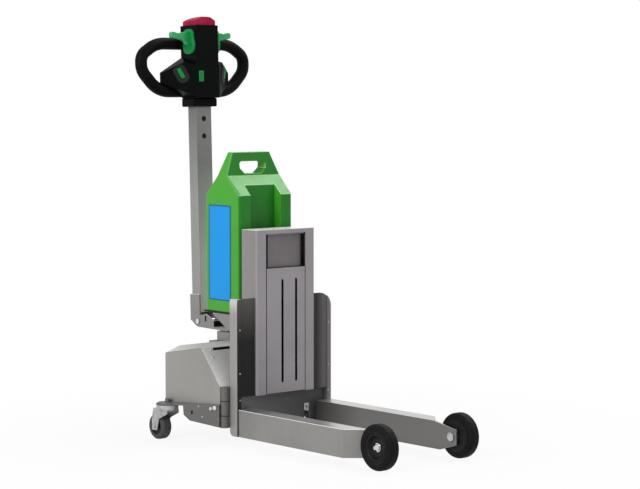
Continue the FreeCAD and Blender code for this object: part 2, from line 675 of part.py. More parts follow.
def make_lift():
    body = new_body("lift_plate")
    half = "mast_half - flange_wide - lift_gap"
    mid_face = station("mast_front_back + lift_thick / 2")
    plate = outline(body, "YZ_Plane", rectangle("-(%s)" % half, "lift_low", half, "lift_top"), mid_face)
    pad(body, plate, "lift_thick", middle=True)
    for centre in ("-slot_right", "slot_left"):
        slot = outline(body, "YZ_Plane",
                       rectangle(centre + " - slot_wide / 2", "slot_low + slot_wide / 2",
                                 centre + " + slot_wide / 2", "slot_top - slot_wide / 2"), mid_face)
        pocket(body, slot, "lift_thick * 2")
        for end in ("slot_low + slot_wide / 2", "slot_top - slot_wide / 2"):
            pocket(body, disc(body, "YZ_Plane", centre, end, "slot_wide / 2", mid_face), "lift_thick * 2")

    block = new_body("lift_carriage")
    clear = "mast_sheet + block_gap"
    front = station("mast_front_back + lift_thick")
    shoe = station("mast_front_back + %s" % clear)
    back = station("mast_front_back + mast_deep - (%s)" % clear)
    wide = "mast_half - mast_sheet - seat_gap"
    neck = "mast_half - flange_wide - lift_gap - carriage_neck"
    web = station("mast_front_back + lift_thick + carriage_web")
    rib = "%s - carriage_side" % wide
    plan = outline(block, "XY_Plane", [
        (front, "-(%s)" % neck), (front, neck), (shoe, neck), (shoe, wide), (back, wide), (back, rib),
        (web, rib), (web, "-(%s)" % rib), (back, "-(%s)" % rib), (back, "-(%s)" % wide),
        (shoe, "-(%s)" % wide), (shoe, "-(%s)" % neck),
    ], "block_low")
    pad(block, plan, "block_top - block_low")
    for centre in ("-slot_right", "slot_left"):
        groove = outline(block, "XY_Plane",
                         rectangle(station("mast_front_back + lift_thick + groove_deep"),
                                   centre + " - groove_wide / 2",
                                   station("mast_front_back + lift_thick - tool_past"),
                                   centre + " + groove_wide / 2"),
                         "(block_low + block_top) / 2")
        pocket(block, groove, "2 * (block_top - block_low)")


# ---------------------------------------------------------------- battery

def battery_section(half_long, half_wide, round_radius, height):
    """Horizontal rectangle with rounded corners about the battery's centre, as a wire."""
    middle = number(station("battery_mid_back"))
    reach, side = number(half_long), number(half_wide)
    radius, level = number(round_radius), number(height)
    slant = radius * (1 - math.sqrt(0.5))
    edges = []
    corners = [(1, -1), (1, 1), (-1, 1), (-1, -1)]
    for index, (along, across) in enumerate(corners):
        turn_from_y = along != across
        on_side = Vector(middle + along * (reach - radius), across * side, level)
        on_end = Vector(middle + along * reach, across * (side - radius), level)
        first, last = (on_side, on_end) if turn_from_y else (on_end, on_side)
        middle_point = Vector(middle + along * (reach - slant), across * (side - slant), level)
        if edges:
            edges.append(Part.LineSegment(previous, first).toShape())
        else:
            opening = first
        edges.append(Part.Arc(first, middle_point, last).toShape())
        previous = last
    edges.append(Part.LineSegment(previous, opening).toShape())
    return Part.Wire(edges)


def make_battery():
    front = station("battery_mid_back - battery_long / 2")
    rear = station("battery_mid_back + battery_long / 2")
    eave = battery_section("battery_long / 2", "battery_half", "battery_round", "battery_eave")
    shoulder_half = "battery_half - shoulder_in"
    shoulder = battery_section("shoulder_long / 2", shoulder_half, "shoulder_round", "shoulder_high")
    top = battery_section("grip_thick / 2", "grip_half", "shoulder_round", "grip_top")
    high = number("battery_eave - tray_top")
    case = Part.Face(eave).extrude(Vector(0, 0, -high))
    slopes = [Part.makeLoft(pair, True, True) for pair in ([eave, shoulder], [shoulder, top])]
    solid = case.fuse(slopes)
    whole = feature("battery_solid", solid.removeSplitter())
    recess = box("battery_recess",
                 ("%s - recess_deep" % front, "-recess_half", "tray_top - tool_past"),
                 ("recess_deep + tool_past", "2 * recess_half", "shoulder_high - tray_top"))
    middle = number(station("battery_mid_back"))
    low = number("hand_low")
    top_edge = number("hand_top")
    half = number("hand_half")
    chamfer = number("hand_chamfer")
    corner = number("hand_corner")
    hand = Part.makePolygon([
        Vector(0, y, z) for y, z in [
            (-half + chamfer, low), (half - chamfer, low), (half, low + chamfer), (half, top_edge - corner),
            (half - corner, top_edge), (-half + corner, top_edge), (-half, top_edge - corner),
            (-half, low + chamfer), (-half + chamfer, low),
        ]
    ])
    reach = number("shoulder_long")
    hand.translate(Vector(middle - reach, 0, 0))
    hole = feature("battery_hand_hole", Part.Face(hand).extrude(Vector(2 * reach, 0, 0)))
    node(cut("battery", cut("battery_open", whole, recess), hole), "battery")
    label_rear = "%s + label_rear" % rear
    node(box("battery_label", (label_rear, "-battery_half - label_thick", "label_low"),
             ("label_wide", "label_thick", "label_top - label_low")), "battery_label")


def make_tray():
    rear = station("battery_mid_back + battery_long / 2 + tray_margin")
    back = station("mast_front_back + mast_deep")
    wide = "battery_half + tray_margin"
    plate = box("tray_plate", (rear, "-(%s)" % wide, "tray_top - tray_thick"),
                ("%s - (%s)" % (back, rear), "2 * (%s)" % wide, "tray_thick"))
    parts = [plate]
    for side, sign in SIDES:
        wall = number(back)
        under = number("tray_top - tray_thick")
        rear_end = wall - number("gusset_long")
        face = Part.Face(Part.makePolygon([
            Vector(wall, 0, under), Vector(rear_end, 0, under),
            Vector(rear_end, 0, under - number("gusset_tip")),
            Vector(wall, 0, under - number("gusset_high")), Vector(wall, 0, under),
        ]))
        thick = number("tray_thick")
        face.translate(Vector(0, sign * number("gusset_apart") - thick / 2, 0))
        parts.append(feature("gusset_" + side, face.extrude(Vector(0, thick, 0))))
    node(fuse("battery_tray", parts), "battery_tray")


# ---------------------------------------------------------------- hood

def half_space(point, normal):
    """Block, larger than the machine, on the side of a plane that its normal points to."""
    size = 6 * number("axle_ahead")
    block = Part.makeBox(size, size, size, Vector(-size / 2, -size / 2, 0))
    block.Placement = Placement(point, Rotation(Vector(0, 0, 1), normal))
    return block


def plane_normal(first, second, third, outward):
    normal = (second - first).cross(third - first).normalize()
    return normal if normal.dot(outward) > 0 else normal * -1


def hood_solid(inset, side_inset):
    """Solid under the hood's sheets, its faces moved inwards by the insets."""
    front = number(station("hood_front_back"))
    crest = number(station("hood_crest_back"))
    rear = number(station("hood_rear_back"))
    top = number("hood_top")
    slant = number("hood_slant_low")
    front_half = number("hood_front_half")
    rear_half = number("hood_rear_half")
    flat = number("hood_flat_half")
    rear_edge = number("hood_rear_edge")
    solid = Part.makeBox(front - rear - 2 * inset, 2 * rear_half, top - inset - number("hood_low"),
                         Vector(rear + inset, -rear_half, number("hood_low")))
    slant_normal = plane_normal(Vector(crest, 0, top), Vector(crest, 1, top), Vector(front, 0, slant),
                                Vector(1, 0, 1))
    solid = solid.cut(half_space(Vector(crest, 0, top) - slant_normal * inset, slant_normal))
    for sign in (1, -1):
        outward = Vector(0, sign, 0)
        side_normal = plane_normal(Vector(front, sign * front_half, 0), Vector(rear, sign * rear_half, 0),
                                   Vector(rear, sign * rear_half, 1), outward)
        solid = solid.cut(half_space(Vector(front, sign * front_half, 0) - side_normal * side_inset,
                                     side_normal))
        facet_normal = plane_normal(Vector(crest, sign * flat, top), Vector(rear, sign * flat, top),
                                    Vector(rear, sign * rear_half, rear_edge), Vector(0, sign, 1))
        solid = solid.cut(half_space(Vector(rear, sign * flat, top) - facet_normal * inset, facet_normal))
    return solid


def make_hood():
    """Folded shell with a notch round the mast and column, and a thicker plate at each side."""
    rear = number(station("hood_rear_back"))
    crest = number(station("hood_crest_back"))
    half = number("hood_notch_half")
    side_thick = number("hood_side_thick")
    sheet_thick = number("hood_sheet")
    low = number("hood_low")
    top = number("hood_top")
    wide = number("hood_rear_half")
    outside = -side_thick
    long = number("hood_rear_back - hood_front_back")
    shell = hood_solid(0.0, side_thick).cut(hood_solid(sheet_thick, outside))
    notch = Part.makeBox(2 * long, 2 * half, top - low, Vector(rear - long, -half, low - sheet_thick))
    over = Part.makeBox(long, 2 * half, 2 * (top - low), Vector(crest, -half, low - sheet_thick))
    shell = shell.cut(notch).cut(over)
    for sign in (1, -1):
        shell = shell.cut(barrel_relief(sign))
    node(feature("hood_shell", shell), "hood_shell")
    plates = hood_solid(0.0, 0.0).cut(hood_solid(outside, side_thick))
    for side, sign in SIDES:
        keep = Part.makeBox(2 * long, wide, top, Vector(rear - long / 2, 0 if sign > 0 else -wide, 0))
        plate = plates.common(keep).cut(barrel_relief(sign))
        node(feature("hood_side_" + side, plate), "hood_side_" + side)


# ---------------------------------------------------------------- casters

def make_caster_arm(side, sign):
    """Folded arm from the hinge barrel to the caster, with the kingpin."""
    hinge = barrel_centre(sign)
    swivel = Vector(number(station("caster_back")), sign * number("caster_half"), 0)
    run = swivel - hinge
    reach = run.Length
    top = number("hood_low")
    plate_low = top - number("arm_top_thick")
    end = reach + number("arm_past")
    barrel = number("barrel_radius")
    root = barrel - number("arm_collar_lap")
    wide = number("arm_wide")
    sheet_thick = number("arm_sheet")
    profile = [
        Vector(root, 0, number("arm_low")),
        Vector(reach - number("knee_clear"), 0, number("arm_knee_low")),
        Vector(reach - number("brow_clear"), 0, number("brow_low")),
        Vector(reach - number("end_clear"), 0, plate_low),
        Vector(end, 0, plate_low),
        Vector(end, 0, top),
        Vector(root, 0, top),
    ]
    solid = Part.Face(Part.makePolygon(profile + profile[:1])).extrude(Vector(0, wide, 0))
    solid.translate(Vector(0, -wide / 2, 0))
    inner = Part.makeBox(reach, wide - 2 * sheet_thick, plate_low,
                         Vector(barrel + sheet_thick, -wide / 2 + sheet_thick, 0))
    sleeve_low = number("barrel_low")
    king_low = number("caster_crown") - number("caster_sheet")
    solid = solid.cut(inner).fuse([
        Part.makeCylinder(number("arm_past"), number("arm_top_thick"), Vector(reach, 0, plate_low)),
        Part.makeCylinder(barrel, top - sleeve_low, Vector(0, 0, sleeve_low)),
        Part.makeCylinder(number("king_radius"), plate_low - king_low, Vector(reach, 0, king_low)),
        Part.makeCylinder(number("king_nut_radius"), number("king_nut_high"), Vector(reach, 0, top)),
    ]).removeSplitter()
    solid.rotate(Vector(), Vector(0, 0, 1), math.degrees(math.atan2(run.y, run.x)))
    solid.translate(hinge)
    node(feature("caster_arm_" + side, solid), "caster_arm_" + side)


def make_hinge_leaf(side, sign):
    """Upper hinge knuckle and the block that joins it to the post's rear face."""
    centre = barrel_centre(sign)
    across = number("barrel_half")
    low = number("hood_low")
    high = number("barrel_top - hood_low")
    knuckle = Part.makeCylinder(number("barrel_radius"), high, centre + Vector(0, 0, low))
    inner = min(number("post_outer - leaf_lap"), across - number("barrel_radius"))
    leaf = Part.makeBox(number("barrel_behind"), across - inner, high,
                        Vector(centre.x, inner if sign > 0 else -across, low))
    node(feature("hinge_leaf_" + side, knuckle.fuse(leaf).removeSplitter()), "hinge_leaf_" + side)


def make_caster(side, sign):
    """Swivel fork with its ball race and axle, and the wheel."""
    swivel = Vector(number(station("caster_back")), sign * number("caster_half"), 0)
    trail = number("caster_trail")
    radius = number("caster_radius")
    half = number("caster_wide / 2 + caster_side_gap")
    crown = number("caster_crown")
    crown_top = number("caster_crown + caster_sheet")
    outer = number("caster_wide / 2 + caster_side_gap + caster_sheet")
    front = number("fork_front")
    past = number("fork_tip_past")
    tip_low = radius - number("fork_tip_low")
    profile = [
        Vector(-trail - past, 0, tip_low), Vector(-trail + past, 0, tip_low),
        Vector(-trail + number("fork_waist_ahead"), 0, number("fork_waist_high")),
        Vector(front, 0, crown - number("fork_front_drop")), Vector(front, 0, crown_top),
        Vector(-trail - number("fork_brow"), 0, crown_top),
        Vector(-trail - past, 0, number("fork_bulge_high")),
    ]
    block = Part.Face(Part.makePolygon(profile + profile[:1])).extrude(Vector(0, 2 * outer, 0))
    block.translate(Vector(0, -outer, 0))
    inside = Part.makeBox(4 * trail, 2 * half, crown, Vector(-3 * trail, -half, 0))
    race_high = number("hood_low - arm_top_thick - seat_gap")
    race = Part.makeCylinder(number("race_radius"), race_high - crown_top, Vector(0, 0, crown_top))
    king_hole = Part.makeCylinder(number("king_radius + fit_gap"), race_high, Vector(0, 0, radius))
    reach = outer + number("caster_pin_end")
    axle = Part.makeCylinder(number("caster_pin"), 2 * reach, Vector(-trail, -reach, radius),
                             Vector(0, 1, 0))
    fork = block.cut(inside).fuse(race).removeSplitter().cut(king_hole).fuse(axle).removeSplitter()
    fork.translate(swivel)
    node(feature("caster_fork_" + side, fork), "caster_fork_" + side)
    wheel_half = "caster_wide / 2"
    body = new_body("caster_wheel_" + side)
    profile = outline(body, "YZ_Plane", [
        ("-(%s)" % wheel_half, "caster_pin + fit_gap"),
        (wheel_half, "caster_pin + fit_gap"),
        (wheel_half, "caster_radius - caster_round"),
        (wheel_half + " - caster_round", "caster_radius"),
        ("-(%s) + caster_round" % wheel_half, "caster_radius"),
        ("-(%s)" % wheel_half, "caster_radius - caster_round"),
    ])
    revolve(body, profile)
    place(body, station("caster_back + caster_trail"), "%d * caster_half" % sign, "caster_radius")


# ---------------------------------------------------------------- drive unit

def make_drive():
    axis = station("column_back")
    half = "drive_wide / 2"
    tyre = new_body("drive_tyre")
    revolve(tyre, outline(tyre, "YZ_Plane", [
        ("-(%s)" % half, "drive_bore"), (half, "drive_bore"), (half, "drive_radius - drive_round"),
        (half + " - drive_round", "drive_radius"), ("-(%s) + drive_round" % half, "drive_radius"),
        ("-(%s)" % half, "drive_radius - drive_round"),
    ]))
    hub = new_body("drive_hub")
    revolve(hub, outline(hub, "YZ_Plane",
                         rectangle("-(%s)" % half, "drive_pin + fit_gap", half, "drive_bore")))
    for body in (tyre, hub):
        place(body, axis, "0", "drive_radius")
    cheek_in = "drive_wide / 2 + yoke_gap"
    cheeks = []
    for side, sign in SIDES:
        low = low_side(sign, cheek_in, cheek_in + " + yoke_sheet")
        cheeks.append(box("yoke_cheek_" + side, (axis + " - yoke_long / 2", low, "drive_radius - yoke_eye"),
                          ("yoke_long", "yoke_sheet", "yoke_under - drive_radius + yoke_eye")))
    crown_half = "(%s + yoke_sheet)" % cheek_in
    crown = box("yoke_crown_plate", (axis + " - yoke_long / 2", "-" + crown_half, "yoke_under"),
                ("yoke_long", "2 * " + crown_half, "yoke_crown"))
    stem = rod("yoke_stem", "z", (axis, "0", "yoke_under"), "stem_radius", "arm_floor - yoke_under")
    pin = rod("yoke_pin", "y", (axis, "-%s - drive_pin_end" % crown_half, "drive_radius"), "drive_pin",
              "2 * (%s + drive_pin_end)" % crown_half)
    node(fuse("drive_fork", cheeks + [crown, stem, pin]), "drive_fork")


def make_column_bracket():
    axis = station("column_back")
    back = station("mast_front_back + mast_deep")
    rear = "%s - bearing_half" % axis
    plate = box("bracket_plate", (rear, "-bracket_half", "bracket_under"),
                ("%s - (%s)" % (back, rear), "2 * bracket_half", "bracket_thick"))
    block = box("bearing_block", (rear, "-bearing_half", "bracket_under"),
                ("2 * bearing_half", "2 * bearing_half", "bearing_top - bracket_under"))
    housing = rod("bearing_housing", "z", (axis, "0", "bearing_low"), "housing_radius",
                  "bracket_under - bearing_low + tool_past")
    bore = rod("bearing_bore", "z", (axis, "0", "bearing_low - tool_past"), "stem_radius + fit_gap",
               "bearing_top - bearing_low + 2 * tool_past")
    node(cut("column_bracket", fuse("bracket_solid", [plate, block, housing]), bore), "column_bracket")


# ---------------------------------------------------------------- steering arm and tiller

def make_steering_arm():
    """Two cheeks joined by a web at the column and one behind it, and the bolt on which the tiller tilts."""
    axis = number(station("column_back"))
    pivot = number(station("pivot_back"))
    high = number("pivot_high")
    floor = number("arm_floor")
    roof = number("arm_roof")
    eye = number("arm_eye")
    web_high = number("arm_web_high")
    root = number("arm_root")
    step = axis - number("arm_step_back")
    inner = number("tiller_wide / 2 + fork_sheet + arm_cheek_gap")
    thick = number("arm_cheek")
    outer = inner + thick
    profile = [
        Vector(pivot, 0, high - eye), Vector(axis + root, 0, floor),
        Vector(axis + root, 0, floor + web_high), Vector(step, 0, floor + web_high),
        Vector(step, 0, floor + number("arm_step_high")), Vector(step - number("arm_slope"), 0, roof),
        Vector(pivot, 0, high + eye),
    ]
    side_face = Part.Face(Part.makePolygon(profile + profile[:1]))
    parts = []
    for low in (inner, -outer):
        cheek = side_face.extrude(Vector(0, thick, 0))
        cheek.translate(Vector(0, low, 0))
        parts += [cheek, Part.makeCylinder(eye, thick, Vector(pivot, low, high), Vector(0, 1, 0))]
    web = Part.makeBox(2 * root, 2 * inner, web_high, Vector(axis - root, -inner, floor))
    end_web = Part.makeBox(thick, 2 * inner, number("arm_step_high"), Vector(step - thick, -inner, floor))
    arm = parts[0].fuse(parts[1:] + [web, end_web]).removeSplitter()
    bolt_hole = Part.makeCylinder(number("pivot_radius + fit_gap"), 4 * outer,
                                  Vector(pivot, -2 * outer, high), Vector(0, 1, 0))
    node(feature("steering_arm", arm.cut(bolt_hole)), "steering_arm")
    head_radius = number("bolt_head_radius")
    head_thick = number("bolt_head_thick")
    bolt = Part.makeCylinder(number("pivot_radius"), 2 * outer, Vector(pivot, -outer, high),
                             Vector(0, 1, 0))
    heads = [Part.makeCylinder(head_radius, head_thick, Vector(pivot, low, high), Vector(0, 1, 0))
             for low in (outer, -outer - head_thick)]
    node(feature("pivot_bolt", bolt.fuse(heads).removeSplitter()), "pivot_bolt")


def lean(thing):
    """Stand a tiller piece, drawn about the pivot, on the pivot with the tiller's lean."""
    thing.Placement = Placement(
        Vector(number(station("pivot_back")), 0, number("pivot_high")),
        Rotation(Vector(0, 1, 0), -number("tiller_lean")))
    place(thing, station("pivot_back"), "0", "pivot_high")
    bind(thing, Placement__Rotation__Angle="-tiller_lean")
    return thing


def make_tiller():
    half = "tiller_wide / 2"
    front = "tiller_deep / 2 - tiller_set"
    rear = "-tiller_deep / 2 - tiller_set"
    outer = box("tiller_outer", (rear, "-" + half, "tiller_foot"),
                ("tiller_deep", "tiller_wide", "tiller_end - tiller_foot"))
    inner = box("tiller_inner",
                (rear + " + tiller_wall", "-%s + tiller_wall" % half, "tiller_foot - tool_past"),
                ("tiller_deep - 2 * tiller_wall", "tiller_wide - 2 * tiller_wall", "tiller_end"))
    holes = [
        rod("tiller_hole_" + name, "x", ("-tiller_set", "0", "tiller_hole_" + name), "tiller_hole",
            "tiller_deep")
        for name in ("upper", "lower")
    ]
    tube = cut("tiller_tube", outer, fuse("tiller_void", [inner] + holes))
    node(tube, "tiller_tube")
    lean(tube)
    plates = []
    heel = number(rear)
    foot = -number("fork_foot")
    high = number("fork_top")
    profile = [
        Vector(heel, 0, number("fork_back_low")), Vector(heel + number("fork_heel"), 0, foot),
        Vector(0, 0, foot), Vector(0, 0, high), Vector(heel, 0, high),
    ]
    for side, sign in SIDES:
        low = low_side(sign, half, half + " + fork_sheet")
        blade = Part.Face(Part.makePolygon(profile + profile[:1])).extrude(Vector(0, number("fork_sheet"), 0))
        blade.translate(Vector(0, number(low), 0))
        eye = rod("fork_eye_" + side, "y", ("0", low, "0"), "fork_eye", "fork_sheet")
        plates += [feature("fork_blade_" + side, blade), eye]
    back = box("fork_back", (rear + " - fork_sheet", "-%s - fork_sheet" % half, "fork_back_low"),
               ("fork_sheet", "tiller_wide + 2 * fork_sheet", "fork_top - fork_back_low"))
    bore = rod("fork_bore", "y", ("0", "-tiller_wide", "0"), "pivot_radius + fit_gap", "2 * tiller_wide")
    fork = cut("tiller_fork", fuse("fork_solid", plates + [back]), bore)
    node(fork, "tiller_fork")
    lean(fork)


def bent_tube(corners, radius, bends):
    """Round bar along straight runs; each bend takes a length of the runs beside its corner."""
    pieces = []
    start = corners[0]
    for before, corner, after, back_off in zip(corners, corners[1:], corners[2:], bends):
        into = (corner - before).normalize()
        away = (after - corner).normalize()
        turn = into.getAngle(away)
        first = corner - into * back_off
        pieces.append(Part.makeCylinder(radius, (first - start).Length, start, into))
        axis = into.cross(away)
        centre = first + axis.cross(into).normalize() * (back_off / math.tan(turn / 2))
        disc_face = Part.Face(Part.Wire([Part.makeCircle(radius, first, into)]))
        pieces.append(disc_face.revolve(centre, axis, math.degrees(turn)))
        start = corner + away * back_off
    last = corners[-1] - start
    pieces.append(Part.makeCylinder(radius, last.Length, start, last))
    return pieces


def make_loop():
    """Closed grip: straight runs and bends from its top to its foot, mirrored at the centre plane."""
    behind = -number("tiller_set - head_ahead + loop_behind")
    corners = [Vector(behind, number(across), number(height)) for across, height in (
        ("0", "loop_high"), ("loop_top_half", "loop_high"), ("loop_half", "loop_side_top"),
        ("loop_half", "loop_side_low"), ("loop_foot_half", "loop_low"), ("0", "loop_low"),
    )]
    bends = [number(name) for name in ("loop_top_bend", "loop_side_bend", "loop_side_bend", "loop_foot_bend")]
    pieces = bent_tube(corners, number("loop_tube"), bends)
    pieces += [piece.mirror(Vector(), Vector(0, 1, 0)) for piece in pieces]
    loop = pieces[0].fuse(pieces[1:]).removeSplitter()
    node(lean(feature("loop_handle", loop)), "loop_handle")
    return loop


def head_middle():
    """Centre of the head ahead of the pivot."""
    return number("head_ahead - tiller_set")


def tube_block(low, high, side=0.0, fore=0.0):
    """Block of the tiller tube's section, grown at its sides and its front and rear."""
    deep = number("tiller_deep") + 2 * fore
    wide = number("tiller_wide") + 2 * side
    return Part.makeBox(deep, wide, high - low, Vector(-number("tiller_set") - deep / 2, -wide / 2, low))


def make_pods():
    """Wings at the head's sides, whose front faces sweep back to their tips."""
    middle = head_middle()
    half = number("head_wide / 2")
    front = number("head_deep / 2") + middle
    rear = middle - number("pod_rear")
    tip = half + number("pod_wide")
    right = [(half, "pod_low"), (tip, "pod_tip_low"), (tip, "pod_tip_top"), (half, "pod_top")]
    corners = [Vector(rear, across, number(height)) for across, height in right]
    corners += [Vector(rear, -across, number(height)) for across, height in reversed(right)]
    pods = Part.Face(Part.makePolygon(corners + corners[:1])).extrude(Vector(front - rear, 0, 0))
    rise = Vector(number("pod_top - pod_front_top"), 0, front - rear).normalize()
    pods = pods.cut(half_space(Vector(front, 0, number("pod_front_top")), rise))
    sweep = number("pod_sweep")
    for sign in (1, -1):
        normal = Vector(tip - half, sign * sweep, 0).normalize()
        pods = pods.cut(half_space(Vector(front, sign * half, 0), normal))
    return pods


def make_head(loop):
    middle = head_middle()
    wide = number("head_wide")
    deep = number("head_deep")
    rear = middle - deep / 2
    low = number("head_low + collar_high")
    top = number("head_top")
    shell = Part.makeBox(deep, wide, top - low, Vector(rear, -wide / 2, low))
    shell = shell.makeFillet(number("head_round"), [edge for edge in shell.Edges if upright(edge)])
    shell = shell.fuse(make_pods()).removeSplitter()
    shell = shell.cut(loop).cut(tube_block(low, number("tiller_end")))
    shell = max(shell.Solids, key=lambda solid: solid.Volume)
    node(lean(feature("head_shell", shell)), "head_shell")
    foot = number("head_low")
    collar = tube_block(foot, low, number("collar_side"), number("collar_fore")).cut(tube_block(foot, low))
    node(lean(feature("head_collar", collar)), "head_collar")


def make_belly_button():
    """Domed button on top of the head, common to two lying cylinders, its crest towards the front."""
    middle = head_middle()
    top = number("head_top")
    crest = number("button_top")
    across = number("button_half")
    along = number("head_deep / 2 + button_half - head_wide / 2")
    dome = Part.makeBox(2 * along, 2 * across, crest - top, Vector(middle - along, -across, top))
    ahead = number("button_crest")
    for reach, fall, axis in ((across, number("button_side_drop"), Vector(1, 0, 0)),
                              (along + ahead, number("button_end_drop"), Vector(0, 1, 0))):
        radius = (reach * reach + fall * fall) / (2 * fall)
        length = 4 * across
        base = Vector(middle + ahead, 0, crest - radius) - axis * (length / 2)
        dome = dome.common(Part.makeCylinder(radius, length, base, axis))
    node(lean(feature("belly_button", dome)), "belly_button")


def make_paddle(side, sign):
    """Rounded thumb plate on the head's side with an ear that widens upwards."""
    half = number("head_wide / 2")
    thick = number("paddle_thick")
    long = number("paddle_long")
    low = number("paddle_low")
    high = number("paddle_high")
    middle = head_middle() + number("paddle_ahead")
    plate = Part.makeBox(long, thick, high - low,
                         Vector(middle - long / 2, half if sign > 0 else -half - thick, low))
    crossways = [edge for edge in plate.Edges if abs(edge.Length - thick) < 0.01
                 and abs(edge.Vertexes[0].Y - edge.Vertexes[1].Y) > thick / 2]
    plate = plate.makeFillet(number("paddle_round"), crossways)
    ear_high = number("ear_high")
    ear_long = number("ear_long")
    ear_thick = number("ear_thick")
    stem = half + (thick + ear_long) / 2
    corners = [Vector(middle - ear_thick / 2, sign * across, height) for across, height in (
        (half, high - ear_high / 2), (half + ear_long, high), (half + ear_long, high - ear_high),
        (stem, (low + high) / 2), (half, low + ear_high),
    )]
    ear = Part.Face(Part.makePolygon(corners + corners[:1])).extrude(Vector(ear_thick, 0, 0))
    node(lean(feature("paddle_" + side, plate.fuse(ear).removeSplitter())), "paddle_" + side)


def make_push_button():
    wide = number("push_wide")
    front = head_middle() + number("head_deep / 2")
    corner = Vector(front, -number("push_side") - wide / 2, number("push_low"))
    button = Part.makeBox(number("push_proud"), wide, number("push_high"), corner)
    node(lean(feature("push_button", button)), "push_button")


# ---------------------------------------------------------------- build and write

for side, sign in SIDES:
    make_leg(side, sign)
    make_front_wheel(side, sign)
    make_post(side, sign)
    make_caster_arm(side, sign)
    make_hinge_leaf(side, sign)
    make_caster(side, sign)
    make_paddle(side, sign)
make_cross_panel()
make_mast()
make_window_plate()
make_lift()
make_battery()
make_tray()
make_hood()
make_column_bracket()
make_drive()
make_steering_arm()
make_tiller()
make_head(make_loop())
make_belly_button()
make_push_button()
doc.recompute()

for thing in doc.Objects:
    if "Invalid" in thing.State or "Error" in thing.State:
        raise RuntimeError("%s failed: %s" % (thing.Label, thing.State))
for thing in nodes:
    if thing.Shape.isNull() or not thing.Shape.isValid() or not thing.Shape.Solids:
        raise RuntimeError("%s has no valid solid" % thing.Label)

os.makedirs("parts", exist_ok=True)
for thing in nodes:
    thing.Shape.exportStep("parts/%s.step" % thing.Label)
print("wrote %d sub-parts" % len(nodes))
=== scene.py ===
import json
import math

import bmesh
import bpy
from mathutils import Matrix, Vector


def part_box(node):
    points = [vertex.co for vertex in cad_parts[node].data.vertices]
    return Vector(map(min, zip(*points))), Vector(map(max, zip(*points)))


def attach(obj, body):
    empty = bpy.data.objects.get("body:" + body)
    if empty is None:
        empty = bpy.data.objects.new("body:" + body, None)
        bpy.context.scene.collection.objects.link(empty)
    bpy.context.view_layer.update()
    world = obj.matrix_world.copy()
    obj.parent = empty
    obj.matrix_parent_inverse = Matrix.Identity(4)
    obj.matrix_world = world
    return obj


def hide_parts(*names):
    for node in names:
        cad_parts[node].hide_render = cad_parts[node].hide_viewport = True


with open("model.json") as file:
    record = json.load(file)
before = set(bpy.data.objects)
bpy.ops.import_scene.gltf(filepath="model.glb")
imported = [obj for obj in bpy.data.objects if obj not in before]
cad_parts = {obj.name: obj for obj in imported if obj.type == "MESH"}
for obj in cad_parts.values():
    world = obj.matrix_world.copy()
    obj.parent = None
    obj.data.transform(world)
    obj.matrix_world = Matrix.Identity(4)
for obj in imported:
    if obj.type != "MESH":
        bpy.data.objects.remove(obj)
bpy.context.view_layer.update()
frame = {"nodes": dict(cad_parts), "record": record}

# Pedestrian electric tow tug, metres.
# +X towards the load wheels, +Y to the machine's left, +Z up, floor at zero.

MM = 0.001
RECORD = frame["record"]
BODY = {node: body for body, nodes in RECORD["behaviour"]["bodies"].items() for node in nodes}
SLOT = {part["node"]: part["material_slot"] for part in RECORD["subparts"]}
JOINTS = {joint["name"]: joint for joint in RECORD["behaviour"]["joints"]}
SIDES = (("left", 1), ("right", -1))
X, Y, Z = (Vector(axis) for axis in ((1, 0, 0), (0, 1, 0), (0, 0, 1)))

# How far a face's normal leans to an axis, as its share along that axis.
MOSTLY = 0.6
SQUARELY = 0.9

# The tiller leans back on its pivot. U, Y and W are its own forward, left and up directions.
LEAN = math.radians(1.7)
PIVOT = Vector(JOINTS["tiller_tilt"]["pos_m"])
U = Vector((math.cos(LEAN), 0, math.sin(LEAN)))
W = Vector((-math.sin(LEAN), 0, math.cos(LEAN)))


def on_tiller(ahead, left, above):
    """A point given in millimetres from the tiller's pivot along its own directions."""
    return PIVOT + (U * ahead + Y * left + W * above) * MM


# ---------------------------------------------------------------- finishes

